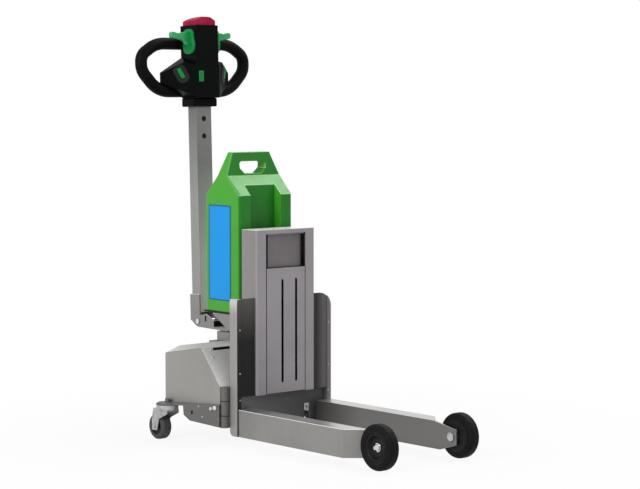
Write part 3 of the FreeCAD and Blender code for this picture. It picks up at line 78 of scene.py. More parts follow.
class Finish:
    """One principled shader whose patterns lie on object coordinates."""

    def __init__(self, name, colour, roughness, metallic=0.0):
        self.material = bpy.data.materials.new(name)
        self.material.use_nodes = True
        self.tree = self.material.node_tree
        self.shader = self.tree.nodes["Principled BSDF"]
        self.colour = (*colour, 1.0)
        self.shader.inputs["Base Color"].default_value = self.colour
        self.shader.inputs["Roughness"].default_value = roughness
        self.shader.inputs["Metallic"].default_value = metallic
        self.roughness = roughness
        self.place = self.add("ShaderNodeTexCoord").outputs["Object"]

    def add(self, kind, **settings):
        item = self.tree.nodes.new(kind)
        for key, value in settings.items():
            setattr(item, key, value)
        return item

    def link(self, output, target):
        self.tree.links.new(output, target)

    def stretched(self, scale):
        """Object coordinates drawn out along an axis."""
        mapping = self.add("ShaderNodeMapping")
        mapping.inputs["Scale"].default_value = scale
        self.link(self.place, mapping.inputs["Vector"])
        return mapping.outputs["Vector"]

    def noise(self, scale, detail=3.0, stretch=None):
        """Cloudy pattern around a half."""
        texture = self.add("ShaderNodeTexNoise")
        texture.inputs["Scale"].default_value = scale
        texture.inputs["Detail"].default_value = detail
        self.link(self.stretched(stretch) if stretch else self.place, texture.inputs["Vector"])
        return texture.outputs["Fac"]

    def remap(self, value, low, high, to_low, to_high):
        """Value scaled from one range to another."""
        node = self.add("ShaderNodeMapRange")
        for key, number in zip(("From Min", "From Max", "To Min", "To Max"), (low, high, to_low, to_high)):
            node.inputs[key].default_value = number
        self.link(value, node.inputs["Value"])
        return node.outputs["Result"]

    def blend(self, factor, first, second):
        """Mix two colours, each a colour or an output, by a factor output."""
        mix = self.add("ShaderNodeMix", data_type="RGBA")
        self.link(factor, mix.inputs[0])
        for socket, colour in ((mix.inputs[6], first), (mix.inputs[7], second)):
            if isinstance(colour, tuple):
                socket.default_value = (*colour[:3], 1.0)
            else:
                self.link(colour, socket)
        return mix.outputs[2]

    def tinted(self, shade):
        """Base colour made darker or lighter by a factor."""
        return tuple(min(1.0, part * shade) for part in self.colour[:3])

    def drift(self, scale, darker, lighter):
        """Broad tone changes between two shades of the base colour."""
        factor = self.remap(self.noise(scale, 2.0), 0.35, 0.65, 0.0, 1.0)
        return self.blend(factor, self.tinted(darker), self.tinted(lighter))

    def along(self, axis, low, high):
        """A factor from 0 to 1 between two places, in metres, along an axis of the machine."""
        parts = self.add("ShaderNodeSeparateXYZ")
        self.link(self.place, parts.inputs[0])
        return self.remap(parts.outputs[axis], low, high, 0.0, 1.0)

    def paint(self, colour):
        self.link(colour, self.shader.inputs["Base Color"])
        return self

    def rough(self, value, spread):
        """Roughness that varies either way by a spread."""
        self.link(self.remap(value, 0.3, 0.7, self.roughness - spread, self.roughness + spread),
                  self.shader.inputs["Roughness"])
        return self

    def bumps(self, height, strength, distance):
        """Fine relief from a height pattern."""
        bump = self.add("ShaderNodeBump")
        bump.inputs["Strength"].default_value = strength
        bump.inputs["Distance"].default_value = distance
        self.link(height, bump.inputs["Height"])
        self.link(bump.outputs["Normal"], self.shader.inputs["Normal"])
        return self


def blasted_steel(name, colour, roughness=0.5, metallic=0.55):
    """Bead-blasted stainless sheet: fine grain, slow tone drift, faint handling streaks."""
    finish = Finish(name, colour, roughness, metallic)
    grain = finish.noise(900.0, 2.0)
    broad = finish.drift(5.0, 0.93, 1.06)
    streak = finish.remap(finish.noise(14.0, 4.0, (1.0, 1.0, 0.12)), 0.55, 0.8, 0.0, 0.35)
    finish.paint(finish.blend(streak, broad, finish.tinted(0.84)))
    finish.rough(finish.noise(60.0, 4.0), 0.06)
    return finish.bumps(grain, 0.12, 0.0004).material


def painted_light_steel(name, colour, axis, low, high, from_tint, to_tint, metallic=0.2, shine=0.1):
    """Steel with painted light and shade: its tone fades between two places, darker where little light
    reaches it and paler where much light falls.
    """
    finish = Finish(name, colour, 0.5, metallic)
    finish.shader.inputs["Specular IOR Level"].default_value = shine
    fade = finish.along(axis, low, high)
    finish.paint(finish.blend(fade, finish.tinted(from_tint), finish.tinted(to_tint)))
    finish.rough(finish.noise(60.0, 4.0), 0.06)
    return finish.bumps(finish.noise(900.0, 2.0), 0.1, 0.0004).material


def bright_edge():
    """Pale sheet edges, standing in for the glint along them."""
    finish = Finish("bright edge", (0.93, 0.92, 0.90), 0.3, 0.2)
    finish.paint(finish.drift(30.0, 0.94, 1.03))
    return finish.rough(finish.noise(80.0), 0.05).material


def zinc_plate():
    """Dull plated pressings with a faint spangle."""
    finish = Finish("zinc plate", (0.41, 0.41, 0.415), 0.36, 0.6)
    finish.paint(finish.drift(60.0, 0.8, 1.16))
    finish.rough(finish.noise(120.0), 0.08)
    return finish.bumps(finish.noise(400.0), 0.08, 0.0004).material


def bright_bolt():
    """Polished fasteners."""
    finish = Finish("bright bolt", (0.62, 0.62, 0.63), 0.2, 1.0)
    finish.paint(finish.drift(90.0, 0.9, 1.08))
    return finish.rough(finish.noise(150.0), 0.05).material


def tyre_rubber(name, colour):
    """Solid rubber with a dusty bloom and a fine moulded grain."""
    finish = Finish(name, colour, 0.66)
    finish.shader.inputs["Specular IOR Level"].default_value = 0.12
    dust = finish.remap(finish.noise(40.0, 5.0), 0.5, 0.75, 0.0, 0.5)
    finish.paint(finish.blend(dust, finish.tinted(0.9), finish.tinted(1.9)))
    finish.rough(finish.noise(70.0), 0.09)
    return finish.bumps(finish.noise(700.0, 4.0), 0.16, 0.0006).material


def moulded_plastic(name, colour, roughness, grain=0.08, sheen=0.5):
    """Plain plastic with a fine moulded grain."""
    finish = Finish(name, colour, roughness)
    finish.shader.inputs["Specular IOR Level"].default_value = sheen
    finish.paint(finish.drift(12.0, 0.94, 1.07))
    finish.rough(finish.noise(50.0, 4.0), 0.05)
    return finish.bumps(finish.noise(1400.0, 2.0), grain, 0.0004).material


def polished_lit_steel():
    """Smooth, softly mirroring steel for the tops of the legs, paler than the rest as painted light."""
    finish = Finish("polished lit steel", (0.5, 0.49, 0.48), 0.34, 1.0)
    return finish.paint(finish.drift(8.0, 0.92, 1.05)).material


def film(name, colour):
    """Smooth blank film."""
    finish = Finish(name, colour, 0.32)
    finish.shader.inputs["Specular IOR Level"].default_value = 0.2
    return finish.paint(finish.drift(6.0, 0.97, 1.03)).material


def battery_plastic(name, colour, sheen):
    """Tough green case: slight orange peel and rubbed, paler patches."""
    finish = Finish(name, colour, 0.36)
    finish.shader.inputs["Specular IOR Level"].default_value = sheen
    rubbed = finish.remap(finish.noise(9.0, 6.0), 0.58, 0.8, 0.0, 0.3)
    finish.paint(finish.blend(rubbed, finish.drift(4.0, 0.94, 1.05), finish.tinted(1.25)))
    finish.rough(finish.noise(35.0, 5.0), 0.06)
    return finish.bumps(finish.noise(260.0, 2.0), 0.06, 0.0006).material


def grip_rubber():
    """Soft black grip with a pebbled skin."""
    finish = Finish("grip rubber", (0.003, 0.003, 0.0031), 0.5)
    finish.shader.inputs["Specular IOR Level"].default_value = 0.05
    finish.paint(finish.drift(30.0, 0.85, 1.4))
    cells = finish.add("ShaderNodeTexVoronoi")
    cells.inputs["Scale"].default_value = 420.0
    finish.link(finish.place, cells.inputs["Vector"])
    finish.rough(finish.noise(60.0), 0.07)
    return finish.bumps(cells.outputs["Distance"], 0.15, 0.0006).material


def red_lens():
    """Cloudy red plastic of the button on the head."""
    finish = Finish("red lens", (0.46, 0.022, 0.075), 0.3)
    finish.paint(finish.drift(14.0, 0.7, 1.25))
    finish.shader.inputs["Specular IOR Level"].default_value = 0.03
    return finish.rough(finish.noise(40.0), 0.05).material


STEEL = blasted_steel("blasted steel", (0.268, 0.259, 0.249))
# Painted light and shade on the tiller tube: its sides and front take separate copies of the steel; the
# sides darken towards the head and the front is painted lighter low down, where the battery shades it.
TUBE_SIDE_STEEL = painted_light_steel(
    "tube side steel", (0.22, 0.218, 0.212), axis="Z", low=0.68, high=0.98,
    from_tint=1.4, to_tint=0.72, metallic=0.5, shine=0.4)
TUBE_FRONT_STEEL = painted_light_steel(
    "tube front steel", (0.19, 0.188, 0.182), axis="Z", low=0.5, high=0.78,
    from_tint=3.0, to_tint=1.0, metallic=0.5, shine=0.4)
# Painted highlight: a much paler copy of the steel for the hood's front and top faces, palest low down.
SLANT_STEEL = painted_light_steel(
    "slanted hood steel", (0.72, 0.71, 0.685), axis="Z", low=0.16, high=0.26,
    from_tint=1.5, to_tint=0.95, metallic=0.3, shine=0.4)
# Painted shade: dark copies of the steel for the shield plates and the posts' front and inner faces, the
# left one lighter towards its outer edge and the right one darker towards the bottom.
SHIELD_STEEL = {
    "left": painted_light_steel(
        "left shield steel", (0.070, 0.067, 0.066), axis="Y", low=0.125, high=0.178,
        from_tint=0.6, to_tint=3.2),
    "right": painted_light_steel(
        "right shield steel", (0.075, 0.072, 0.070), axis="Z", low=0.29, high=0.43,
        from_tint=0.28, to_tint=1.55),
}
# Painted shade: a dark copy of the steel for the panel between the legs, darkest towards the machine's
# left.
PANEL_STEEL = painted_light_steel(
    "panel steel", (0.132, 0.128, 0.131), axis="Y", low=-0.16, high=0.12, from_tint=1.3, to_tint=0.68)
# Painted shade: a dark copy of the steel for the inner faces of the legs, darkest towards the rear.
INNER_STEEL = painted_light_steel(
    "inner leg steel", (0.19, 0.185, 0.18), axis="X", low=-0.09, high=0.11, from_tint=0.22, to_tint=1.0)
# Painted highlight: the posts' steel turns paler near their tops.
POST_STEEL = painted_light_steel(
    "post steel", (0.33, 0.32, 0.306), axis="Z", low=0.37, high=0.40,
    from_tint=1.0, to_tint=1.75, metallic=0.4, shine=0.3)
# A lighter, bluer copy of the steel; on the mast's forward faces it is painted light.
MAST_STEEL = blasted_steel("mast steel", (0.292, 0.274, 0.29))
# Painted shade: a darker copy of the steel for the recessed window plate.
SHADED_WINDOW_STEEL = blasted_steel("window steel", (0.175, 0.16, 0.165))
POLISHED_LIT_STEEL = polished_lit_steel()
# Painted shade: a darker copy of the steel for the hinge leaves and caster arms low under the machine.
SHADED_LOW_STEEL = blasted_steel("undercarriage steel", (0.13, 0.125, 0.12), 0.5, 0.4)
EDGE = bright_edge()
ZINC = zinc_plate()
BOLT = bright_bolt()
TYRE = tyre_rubber("tyre rubber", (0.0045, 0.0045, 0.0048))
CASTER_RUBBER = tyre_rubber("caster rubber", (0.075, 0.073, 0.072))
HUB = moulded_plastic("hub plastic", (0.010, 0.010, 0.011), 0.38, sheen=0.14)
CASE = battery_plastic("battery plastic", (0.050, 0.335, 0.020), 0.32)
# Painted light on the battery case: a darker copy for its front as painted shade, a paler one for the
# slopes and pale edges as painted highlights.
CASE_FRONT = battery_plastic("battery front plastic", (0.018, 0.185, 0.017), 0.2)
CASE_SLOPE = battery_plastic("battery slope plastic", (0.085, 0.36, 0.065), 0.36)
CASE_EDGE = moulded_plastic("battery edge highlight", (0.36, 0.62, 0.33), 0.32, 0.04, 0.4)
LABEL = film("blue film", (0.006, 0.29, 0.74))
LABEL_EDGE = film("dark blue film", (0.008, 0.10, 0.34))
HEAD = moulded_plastic("head plastic", (0.0020, 0.0026, 0.0024), 0.42, 0.1, 0.04)
PAD = moulded_plastic("button pad plastic", (0.011, 0.012, 0.012), 0.45, 0.1, 0.15)
GRIP = grip_rubber()
CONTROL = moulded_plastic("green controls", (0.003, 0.21, 0.045), 0.34, 0.03, 0.2)
CONTROL_TOP = moulded_plastic("pale green fingers", (0.030, 0.36, 0.12), 0.34, 0.03, 0.3)
LENS = red_lens()
# Black plastic of the plugs, slots and holes; also painted shade on the lift plate's side, the lift
# carriage, the tray's rim, the window gap and inside the steering arm.
PLUG_AND_SHADE_BLACK = moulded_plastic("black plug and painted shade", (0.004, 0.004, 0.004), 0.5, 0.05, 0.1)

NODE_FINISH = {
    "stainless": STEEL,
    "zinc_steel": ZINC,
    "bright_bolt": BOLT,
    "black_tyre": TYRE,
    "black_hub": HUB,
    "grey_rubber": CASTER_RUBBER,
    "green_case": CASE,
    "blue_label": LABEL,
    "black_head": HEAD,
    "black_grip": GRIP,
    "green_control": CONTROL,
    "red_button": LENS,
}


# ---------------------------------------------------------------- shape helpers

SHARP = math.radians(32)
ROUND_STEPS = 6


def start_from(node):
    """A CAD node's shape as clean flat faces."""
    shape = bmesh.new()
    shape.from_mesh(frame["nodes"][node].data)
    bmesh.ops.remove_doubles(shape, verts=shape.verts, dist=1e-5)
    bmesh.ops.dissolve_limit(shape, angle_limit=math.radians(0.5), verts=shape.verts, edges=shape.edges)
    bmesh.ops.recalc_face_normals(shape, faces=shape.faces)
    return shape


def bevelled(shape, width, segments=2):
    """Round the sharp edges; the faces that this makes are left tagged."""
    if not width:
        return shape
    edges = [edge for edge in shape.edges if edge.is_manifold and edge.calc_face_angle() > SHARP]
    made = bmesh.ops.bevel(shape, geom=edges, offset=width, offset_type="OFFSET", segments=segments,
                           profile=0.5, affect="EDGES", clamp_overlap=True, material=-1)
    for face in shape.faces:
        face.tag = False
    for face in made["faces"]:
        face.tag = True
    return shape


def add_piece(name, shape, finish, like, replaces=()):
    """Make the shape a piece that rides with a CAD node's body, in the given finish."""
    mesh = bpy.data.meshes.new(name)
    for face in shape.faces:
        face.smooth = True
    for edge in shape.edges:
        edge.smooth = not edge.is_manifold or edge.calc_face_angle() < SHARP
    shape.to_mesh(mesh)
    shape.free()
    piece = bpy.data.objects.new(name, mesh)
    bpy.context.scene.collection.objects.link(piece)
    for material in finish if isinstance(finish, (list, tuple)) else [finish]:
        mesh.materials.append(material)
    level = piece.modifiers.new("even shading", "WEIGHTED_NORMAL")
    level.keep_sharp = True
    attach(piece, BODY[like])
    if replaces:
        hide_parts(*replaces)


def faced(node, width, finishes, pick, segments=2):
    """Softened copy of a node, on which each face takes the finish whose number it is given."""
    shape = bevelled(start_from(node), width, segments=segments)
    for face in shape.faces:
        face.material_index = int(pick(face))
    add_piece("soft_" + node, shape, finishes, node, [node])


def soften(node, width, finish=None, segments=2):
    """Softened copy of a node, in one finish."""
    faced(node, width, [finish or NODE_FINISH[SLOT[node]]], lambda face: 0, segments)


def outline(corners, place, across, up):
    """Flat face of (across, up, radius) corners in millimetres, rounded off by each radius."""
    shape = bmesh.new()
    points = [place + (across * a + up * b) * MM for a, b, _ in corners]
    verts = [shape.verts.new(point) for point in points]
    shape.faces.new(verts)
    for index, (_, _, radius) in enumerate(corners):
        if radius:
            before = points[index - 1] - points[index]
            after = points[(index + 1) % len(points)] - points[index]
            back_off = radius * MM / math.tan(before.angle(after) / 2)
            bmesh.ops.bevel(shape, geom=[verts[index]], offset=back_off, offset_type="OFFSET",
                            segments=ROUND_STEPS, profile=0.5, affect="VERTICES",
                            clamp_overlap=True, material=-1)
    return shape


def join(shape, part):
    """Move a part's faces into a shape."""
    bmesh.ops.recalc_face_normals(part, faces=part.faces)
    mesh = bpy.data.meshes.new("part")
    part.to_mesh(mesh)
    part.free()
    shape.from_mesh(mesh)
    bpy.data.meshes.remove(mesh)


def prism(shape, corners, place, across, up, depth):
    """Outline in the plane of two directions, drawn out by a depth vector."""
    part = outline(corners, place, across, up)
    drawn = bmesh.ops.extrude_face_region(part, geom=part.faces[:])
    far = [item for item in drawn["geom"] if isinstance(item, bmesh.types.BMVert)]
    bmesh.ops.translate(part, verts=far, vec=depth)
    join(shape, part)


def turned(shape, corners, centre, axis, steps):
    """Outline of (along, outwards, radius) corners, spun fully about an axis."""
    part = outline(corners, centre, axis, axis.orthogonal().normalized())
    bmesh.ops.delete(part, geom=part.faces[:], context="FACES_ONLY")
    bmesh.ops.spin(part, geom=part.verts[:] + part.edges[:], cent=centre, axis=axis, angle=math.tau,
                   steps=steps, use_merge=True)
    bmesh.ops.remove_doubles(part, verts=part.verts, dist=1e-6)
    join(shape, part)


def pin(shape, place, axis, radius, length, dome=0.3, steps=24):
    """Round stub from a place along an axis, its free end rounded by the dome's radius."""
    turned(shape, [(0, 0, 0), (0, radius, 0), (length, radius, dome), (length, 0, 0)], place, axis, steps)


# ---------------------------------------------------------------- wheels

def wheel_sizes(tyre):
    """A wheel's centre, and its radius and half its width in millimetres."""
    low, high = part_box(tyre)
    return (low + high) / 2, (high.z - low.z) / 2 / MM, (high.y - low.y) / 2 / MM


def front_wheel(side, sign):
    """Solid tyre with round shoulders on a dished hub, held by a domed nut."""
    outward = Y * sign
    centre, radius, face = wheel_sizes("front_tyre_" + side)
    bore = (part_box("front_hub_" + side)[1].z - centre.z) / MM
    shoulder = 10
    tyre = bmesh.new()
    turned(tyre, [
        (-face, bore, 0), (-face, bore + 4, 2), (-face + 1.2, bore + 5, 1),
        (-face + 0.6, radius, shoulder), (face - 0.6, radius, shoulder),
        (face - 1.2, bore + 5, 1), (face, bore + 4, 2), (face, bore, 0),
    ], centre, outward, 128)
    add_piece("tyre_" + side, tyre, TYRE, "front_tyre_" + side, ["front_tyre_" + side])
    shaft = 8.2
    dish = face - 13.0
    hub = bmesh.new()
    turned(hub, [
        (-face, shaft, 0), (dish - 1, shaft, 0), (dish - 1, 15, 0), (dish + 1.5, 16, 0.8),
        (dish + 1.5, 24, 1.2), (dish - 1.5, 27, 2), (face - 3, 33, 3), (face - 3, 36, 0.8),
        (face - 5, 37, 0.8), (face - 5, 39.5, 0.8), (face - 1, 41, 1), (face - 1, bore, 0),
        (-face, bore, 0),
    ], centre, outward, 128)
    add_piece("hub_" + side, hub, HUB, "front_hub_" + side, ["front_hub_" + side])
    nut = bmesh.new()
    base = centre + outward * (dish * MM)
    pin(nut, base + outward * 0.3 * MM, outward, 12.5, 2.1, 0.6, 48)
    pin(nut, base + outward * 2.4 * MM, outward, 9.5, 9.4, 8.0, 48)
    add_piece("hub_nut_" + side, nut, BOLT, "front_axle_" + side)


def caster(side):
    """Grey tread on a dark core, in the fork of the swivel."""
    wheel = "caster_wheel_" + side
    centre, radius, face = wheel_sizes(wheel)
    core = 24.0
    shoulder = 8
    axle_hole = 5.1
    tread = bmesh.new()
    turned(tread, [(-face, core, 0), (-face, radius, shoulder), (face, radius, shoulder), (face, core, 0)],
           centre, Y, 96)
    add_piece("caster_tread_" + side, tread, CASTER_RUBBER, wheel, [wheel])
    middle = bmesh.new()
    turned(middle, [
        (-face + 1, core, 0), (-face + 1, 20, 1), (-face + 4, 18, 1), (-face + 4, 12, 1),
        (-face + 0.5, 10, 1), (-face + 0.5, axle_hole, 0), (face - 0.5, axle_hole, 0),
        (face - 0.5, 10, 1), (face - 4, 12, 1), (face - 4, 18, 1), (face - 1, 20, 1), (face - 1, core, 0),
    ], centre, Y, 64)
    add_piece("caster_core_" + side, middle, HUB, wheel)


def drive_wheel():
    """Wide tyre on a hub with a dished ring on each side."""
    centre, radius, face = wheel_sizes("drive_tyre")
    bore = (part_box("drive_hub")[1].z - centre.z) / MM
    shoulder = 9
    axle_hole = 10.2
    dish = face - 7
    tyre = bmesh.new()
    turned(tyre, [(-face, bore, 0), (-face, radius, shoulder), (face, radius, shoulder), (face, bore, 0)],
           centre, Y, 128)
    add_piece("drive_tread", tyre, TYRE, "drive_tyre", ["drive_tyre"])
    hub = bmesh.new()
    turned(hub, [
        (-face, axle_hole, 0), (-face, 30, 2), (-dish, 34, 2), (-dish, 54, 2), (-face, 58, 2),
        (-face, bore, 0), (face, bore, 0), (face, 58, 2), (dish, 54, 2), (dish, 34, 2), (face, 30, 2),
        (face, axle_hole, 0),
    ], centre, Y, 96)
    add_piece("drive_core", hub, HUB, "drive_hub", ["drive_hub"])


# ---------------------------------------------------------------- frame

POST_SCREW_HEIGHTS = (304, 180, 104)
SMALLEST_EDGE_FACE = 1e-5
LARGE_FACE = 1e-3


def leg_finish(face, sign):
    """Painted light on a leg: a polished top painted paler, painted shade on the inner side and a painted
    highlight along the outer top edge.
    """
    if face.normal.z > 0.95:
        return 2
    if face.normal.y * sign < -SQUARELY:
        return 3
    outer_edge = face.normal.z > 0.3 and face.normal.y * sign > 0.3
    return outer_edge and face.calc_area() > SMALLEST_EDGE_FACE


def frame_sides():
    """Legs, posts with their screws, shield plates and the panel between them."""
    for side, sign in SIDES:
        # Painted light and shade on the legs: paler tops, darker inner faces and a pale outer top edge.
        faced("leg_" + side, 0.0035, [STEEL, EDGE, POLISHED_LIT_STEEL, INNER_STEEL],
              lambda face: leg_finish(face, sign), 3)
        # Painted shade: the posts' front and inner faces take the shield's dark steel; the rest of each
        # post takes a steel painted paler near its top.
        faced("post_" + side, 0.0012, [POST_STEEL, SHIELD_STEEL[side]],
              lambda face: face.normal.x > MOSTLY or face.normal.y * sign < -MOSTLY)
        # Painted shade on the shield plates.
        soften("shield_plate_" + side, 0.0008, SHIELD_STEEL[side])
        screws = bmesh.new()
        low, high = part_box("post_" + side)
        for above in POST_SCREW_HEIGHTS:
            place = Vector((high.x, (low.y + high.y) / 2 - sign * 3 * MM, low.z + above * MM))
            pin(screws, place, X, 2.4, 1.2, 0.8)
        add_piece("post_screws_" + side, screws, ZINC, "post_" + side)
    # Painted shade on the panel between the legs.
    soften("lower_cross_panel", 0.0012, PANEL_STEEL)


def window_gap_shade():
    """Dark strip that stands on the window plate along its right edge: painted shade for the gap beside
    the lip.
    """
    wide = 4.5
    proud = 10
    low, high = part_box("window_plate")
    tall = (high.z - low.z) / MM - 4
    gap_shade = bmesh.new()
    prism(gap_shade, [(0, 0, 0), (wide, 0, 0), (wide, tall, 0), (0, tall, 0)], low + X * 2.5 * MM, Y, Z,
          X * proud * MM)
    add_piece("window_gap_shade", gap_shade, PLUG_AND_SHADE_BLACK, "window_plate")


def mast():
    """Mast, its window, the lift plate and the battery's tray."""
    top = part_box("mast_channel")[1].z
    # Painted light on the mast: its forward faces take the lighter, bluer copy of the steel, and its top
    # faces the pale edge finish as a painted highlight.
    faced("mast_channel", 0.0006, [STEEL, MAST_STEEL, EDGE],
          lambda face: 2 if face.calc_center_median().z > top - MM else face.normal.x > MOSTLY)
    # Painted shade: the window plate is darker than the rest of the steel, and a dark strip stands in for
    # the shaded gap beside its right lip.
    soften("window_plate", 0.001, SHADED_WINDOW_STEEL)
    window_gap_shade()
    # Painted shade: the lift plate's large right-hand face is near black.
    faced("lift_plate", 0.0012, [MAST_STEEL, PLUG_AND_SHADE_BLACK],
          lambda face: face.normal.y < -SQUARELY and face.calc_area() > LARGE_FACE)
    # The lift carriage is dark paint, made near black as painted shade.
    soften("lift_carriage", 0.001, PLUG_AND_SHADE_BLACK)
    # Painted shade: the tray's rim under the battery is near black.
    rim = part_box("battery_tray")[1].z - 7 * MM
    faced("battery_tray", 0.0012, [STEEL, PLUG_AND_SHADE_BLACK],
          lambda face: face.calc_center_median().z > rim and abs(face.normal.z) < SQUARELY)


# The slanted front of the hood: a point on its crest and its outward and downhill directions.
HOOD_CREST = Vector((-0.190, 0.0, 0.268))
HOOD_OUT = Vector((0.8993, 0.0, 0.4373))
HOOD_DOWN = Vector((0.4373, 0.0, -0.8993))


def hood():
    """Side plates whose slanting edges carry a painted highlight, and the slots and screws of the slanted
    front.
    """
    for side, sign in SIDES:
        faced("hood_side_" + side, 0.0006, [STEEL, EDGE],
              lambda face: face.normal.x > MOSTLY and 0.2 < face.normal.z < 0.8, 3)
        slot = bmesh.new()
        prism(slot, [(125, 1.2, 2), (186, 1.2, 2), (186, 9.2, 2), (125, 9.2, 2)],
              HOOD_CREST - HOOD_OUT * 0.6 * MM, Y * sign, HOOD_DOWN, HOOD_OUT * 0.9 * MM)
        add_piece("hood_slot_" + side, slot, PLUG_AND_SHADE_BLACK, "hood_shell")
        screws = bmesh.new()
        for across, down in ((192.5, 7.0), (193.5, 30.0)):
            pin(screws, HOOD_CREST + (Y * sign * across + HOOD_DOWN * down - HOOD_OUT * 0.5) * MM,
                HOOD_OUT, 2.6, 2.6, 1.2, 16)
        add_piece("hood_screws_" + side, screws, BOLT, "hood_shell")
    # Painted highlight: the shell's forward and top faces take the pale slanted steel.
    faced("hood_shell", 0.001, [STEEL, SLANT_STEEL],
          lambda face: face.normal.x > MOSTLY or face.normal.z > 0.8)


# Bolts on a caster arm's side: (along, above, radius, length) from the hinge and the floor.
ARM_BOLTS = ((24, 101, 6.0, 6.0), (35, 99, 4.5, 8.0), (62, 74, 1.8, 0.9), (73, 104, 1.8, 0.9))
BARREL_GROOVES = (118.5, 76.8)
BARREL_RADIUS = 14.25
LEFT_HINGE = Vector((-0.134, 0.186, 0.0))
ARM_FACE = 17


def caster_arms():
    """Arms with their bolts, and the grooves that part the hinge barrel's knuckles."""
    swivel = Vector(JOINTS["caster_swivel_left"]["pos_m"])
    for side, sign in SIDES:
        # Painted shade: the hinge leaves and arms take the darker copy of the steel.
        soften("hinge_leaf_" + side, 0.0012, SHADED_LOW_STEEL)
        soften("caster_arm_" + side, 0.0012, SHADED_LOW_STEEL)
        soften("caster_fork_" + side, 0.001)
        hinge = Vector((LEFT_HINGE.x, sign * LEFT_HINGE.y, LEFT_HINGE.z))
        run = (Vector((swivel.x, sign * swivel.y, 0.0)) - hinge).normalized()
        outward = Z.cross(run) * -sign
        face = hinge + outward * ARM_FACE * MM
        bolts = bmesh.new()
        for along, above, radius, length in ARM_BOLTS:
            place = face + (run * along + Z * above - outward * 0.3) * MM
            pin(bolts, place, outward, radius, length, 0.8, 20)
        add_piece("arm_bolts_" + side, bolts, BOLT, "caster_arm_" + side)
        holes = bmesh.new()
        prism(holes, [(90, 80, 2), (95, 80, 2), (95, 92, 2), (90, 92, 2)], face - outward * 0.3 * MM,
              run, Z, outward * 0.6 * MM)
        for above in BARREL_GROOVES:
            turned(holes, [(0, 13.0, 0), (0, BARREL_RADIUS, 0), (2.2, BARREL_RADIUS, 0), (2.2, 13.0, 0)],
                   hinge + Z * above * MM, Z, 48)
        add_piece("arm_holes_" + side, holes, PLUG_AND_SHADE_BLACK, "caster_arm_" + side)


# ---------------------------------------------------------------- battery

def case_finish(face):
    """Painted light on the case: pale edges and slope as painted highlights, and a darker front as painted
    shade.
    """
    middle = face.calc_center_median()
    in_hand_hole = abs(middle.y) < 0.04 and 0.755 < middle.z < 0.798
    if face.tag and face.normal.z > 0.12 and not in_hand_hole:
        return 1
    if face.normal.x > 0.5 and abs(face.normal.z) < 0.3:
        return 2
    on_slope = face.normal.x > 0.3 and face.normal.z > 0.3
    return 3 if on_slope and not in_hand_hole else 0


def battery():
    """Green case with a blank blue label inside a darker border."""
    faced("battery", 0.0028, [CASE, CASE_EDGE, CASE_FRONT, CASE_SLOPE], case_finish, 3)
    low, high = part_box("battery_label")
    wide = (high.x - low.x) / MM
    tall = (high.z - low.z) / MM
    corner = 5.0
    border = 4.0
    label = bmesh.new()
    prism(label, [(0, 0, corner), (wide, 0, corner), (wide, tall, corner), (0, tall, corner)],
          Vector((low.x, high.y, low.z)), X, Z, Vector((0, low.y - high.y, 0)))
    front = min(label.faces, key=lambda face: face.calc_center_median().y)
    bmesh.ops.inset_individual(label, faces=[front], thickness=border * MM)
    for face in label.faces:
        face.material_index = 0 if face is front else 1
    add_piece("label", label, [LABEL, LABEL_EDGE], "battery_label", ["battery_label"])


# ---------------------------------------------------------------- tiller and head

# Places on the tiller, in millimetres ahead of or above its pivot.
TUBE_FRONT = -1.0
PLUG_HEIGHTS = (607, 555)
FORK_CREST = 78
HEAD_FRONT = 25.0
HEAD_HALF = 42.0
HEAD_MIDDLE = -15.0


def arm_finish(face):
    """Painted shade: dark inside the steering arm and on the web across it."""
    middle = face.calc_center_median()
    inward = face.normal.y * middle.y < 0 and abs(face.normal.y) > SQUARELY
    web = face.normal.x > SQUARELY and abs(middle.y) < 0.032
    return inward or web


def tiller():
    """Tube with its two plugs, the fork that holds it and the steering parts below."""
    # Painted light and shade: the tube's front faces and sides take their own fading copies of the steel.
    faced("tiller_tube", 0.003, [TUBE_SIDE_STEEL, TUBE_FRONT_STEEL],
          lambda face: face.normal.dot(U) > 0.7, 3)
    crest = PIVOT.z + FORK_CREST * MM
    # Painted highlight: the fork's top faces take the pale edge finish.
    faced("tiller_fork", 0.0012, [STEEL, EDGE], lambda face: face.calc_center_median().z > crest)
    plugs = bmesh.new()
    for above in PLUG_HEIGHTS:
        pin(plugs, on_tiller(TUBE_FRONT - 3.2, 0, above), U, 7.9, 3.0, 1.0, 32)
    add_piece("tube_plugs", plugs, PLUG_AND_SHADE_BLACK, "tiller_tube")
    # Painted shade inside the steering arm.
    faced("steering_arm", 0.0012, [STEEL, PLUG_AND_SHADE_BLACK], arm_finish)
    slots = bmesh.new()
    low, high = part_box("steering_arm")
    for sign, cheek in ((1, high.y), (-1, low.y)):
        prism(slots, [(33, 2, 3), (40, 2, 3), (40, 20, 3), (33, 20, 3)],
              Vector((PIVOT.x, cheek - sign * 0.3 * MM, PIVOT.z)), X, Z, Y * sign * 0.6 * MM)
    add_piece("arm_slots", slots, PLUG_AND_SHADE_BLACK, "steering_arm")
    soften("drive_fork", 0.0015)
    soften("column_bracket", 0.0015)
    soften("pivot_bolt", 0.001)


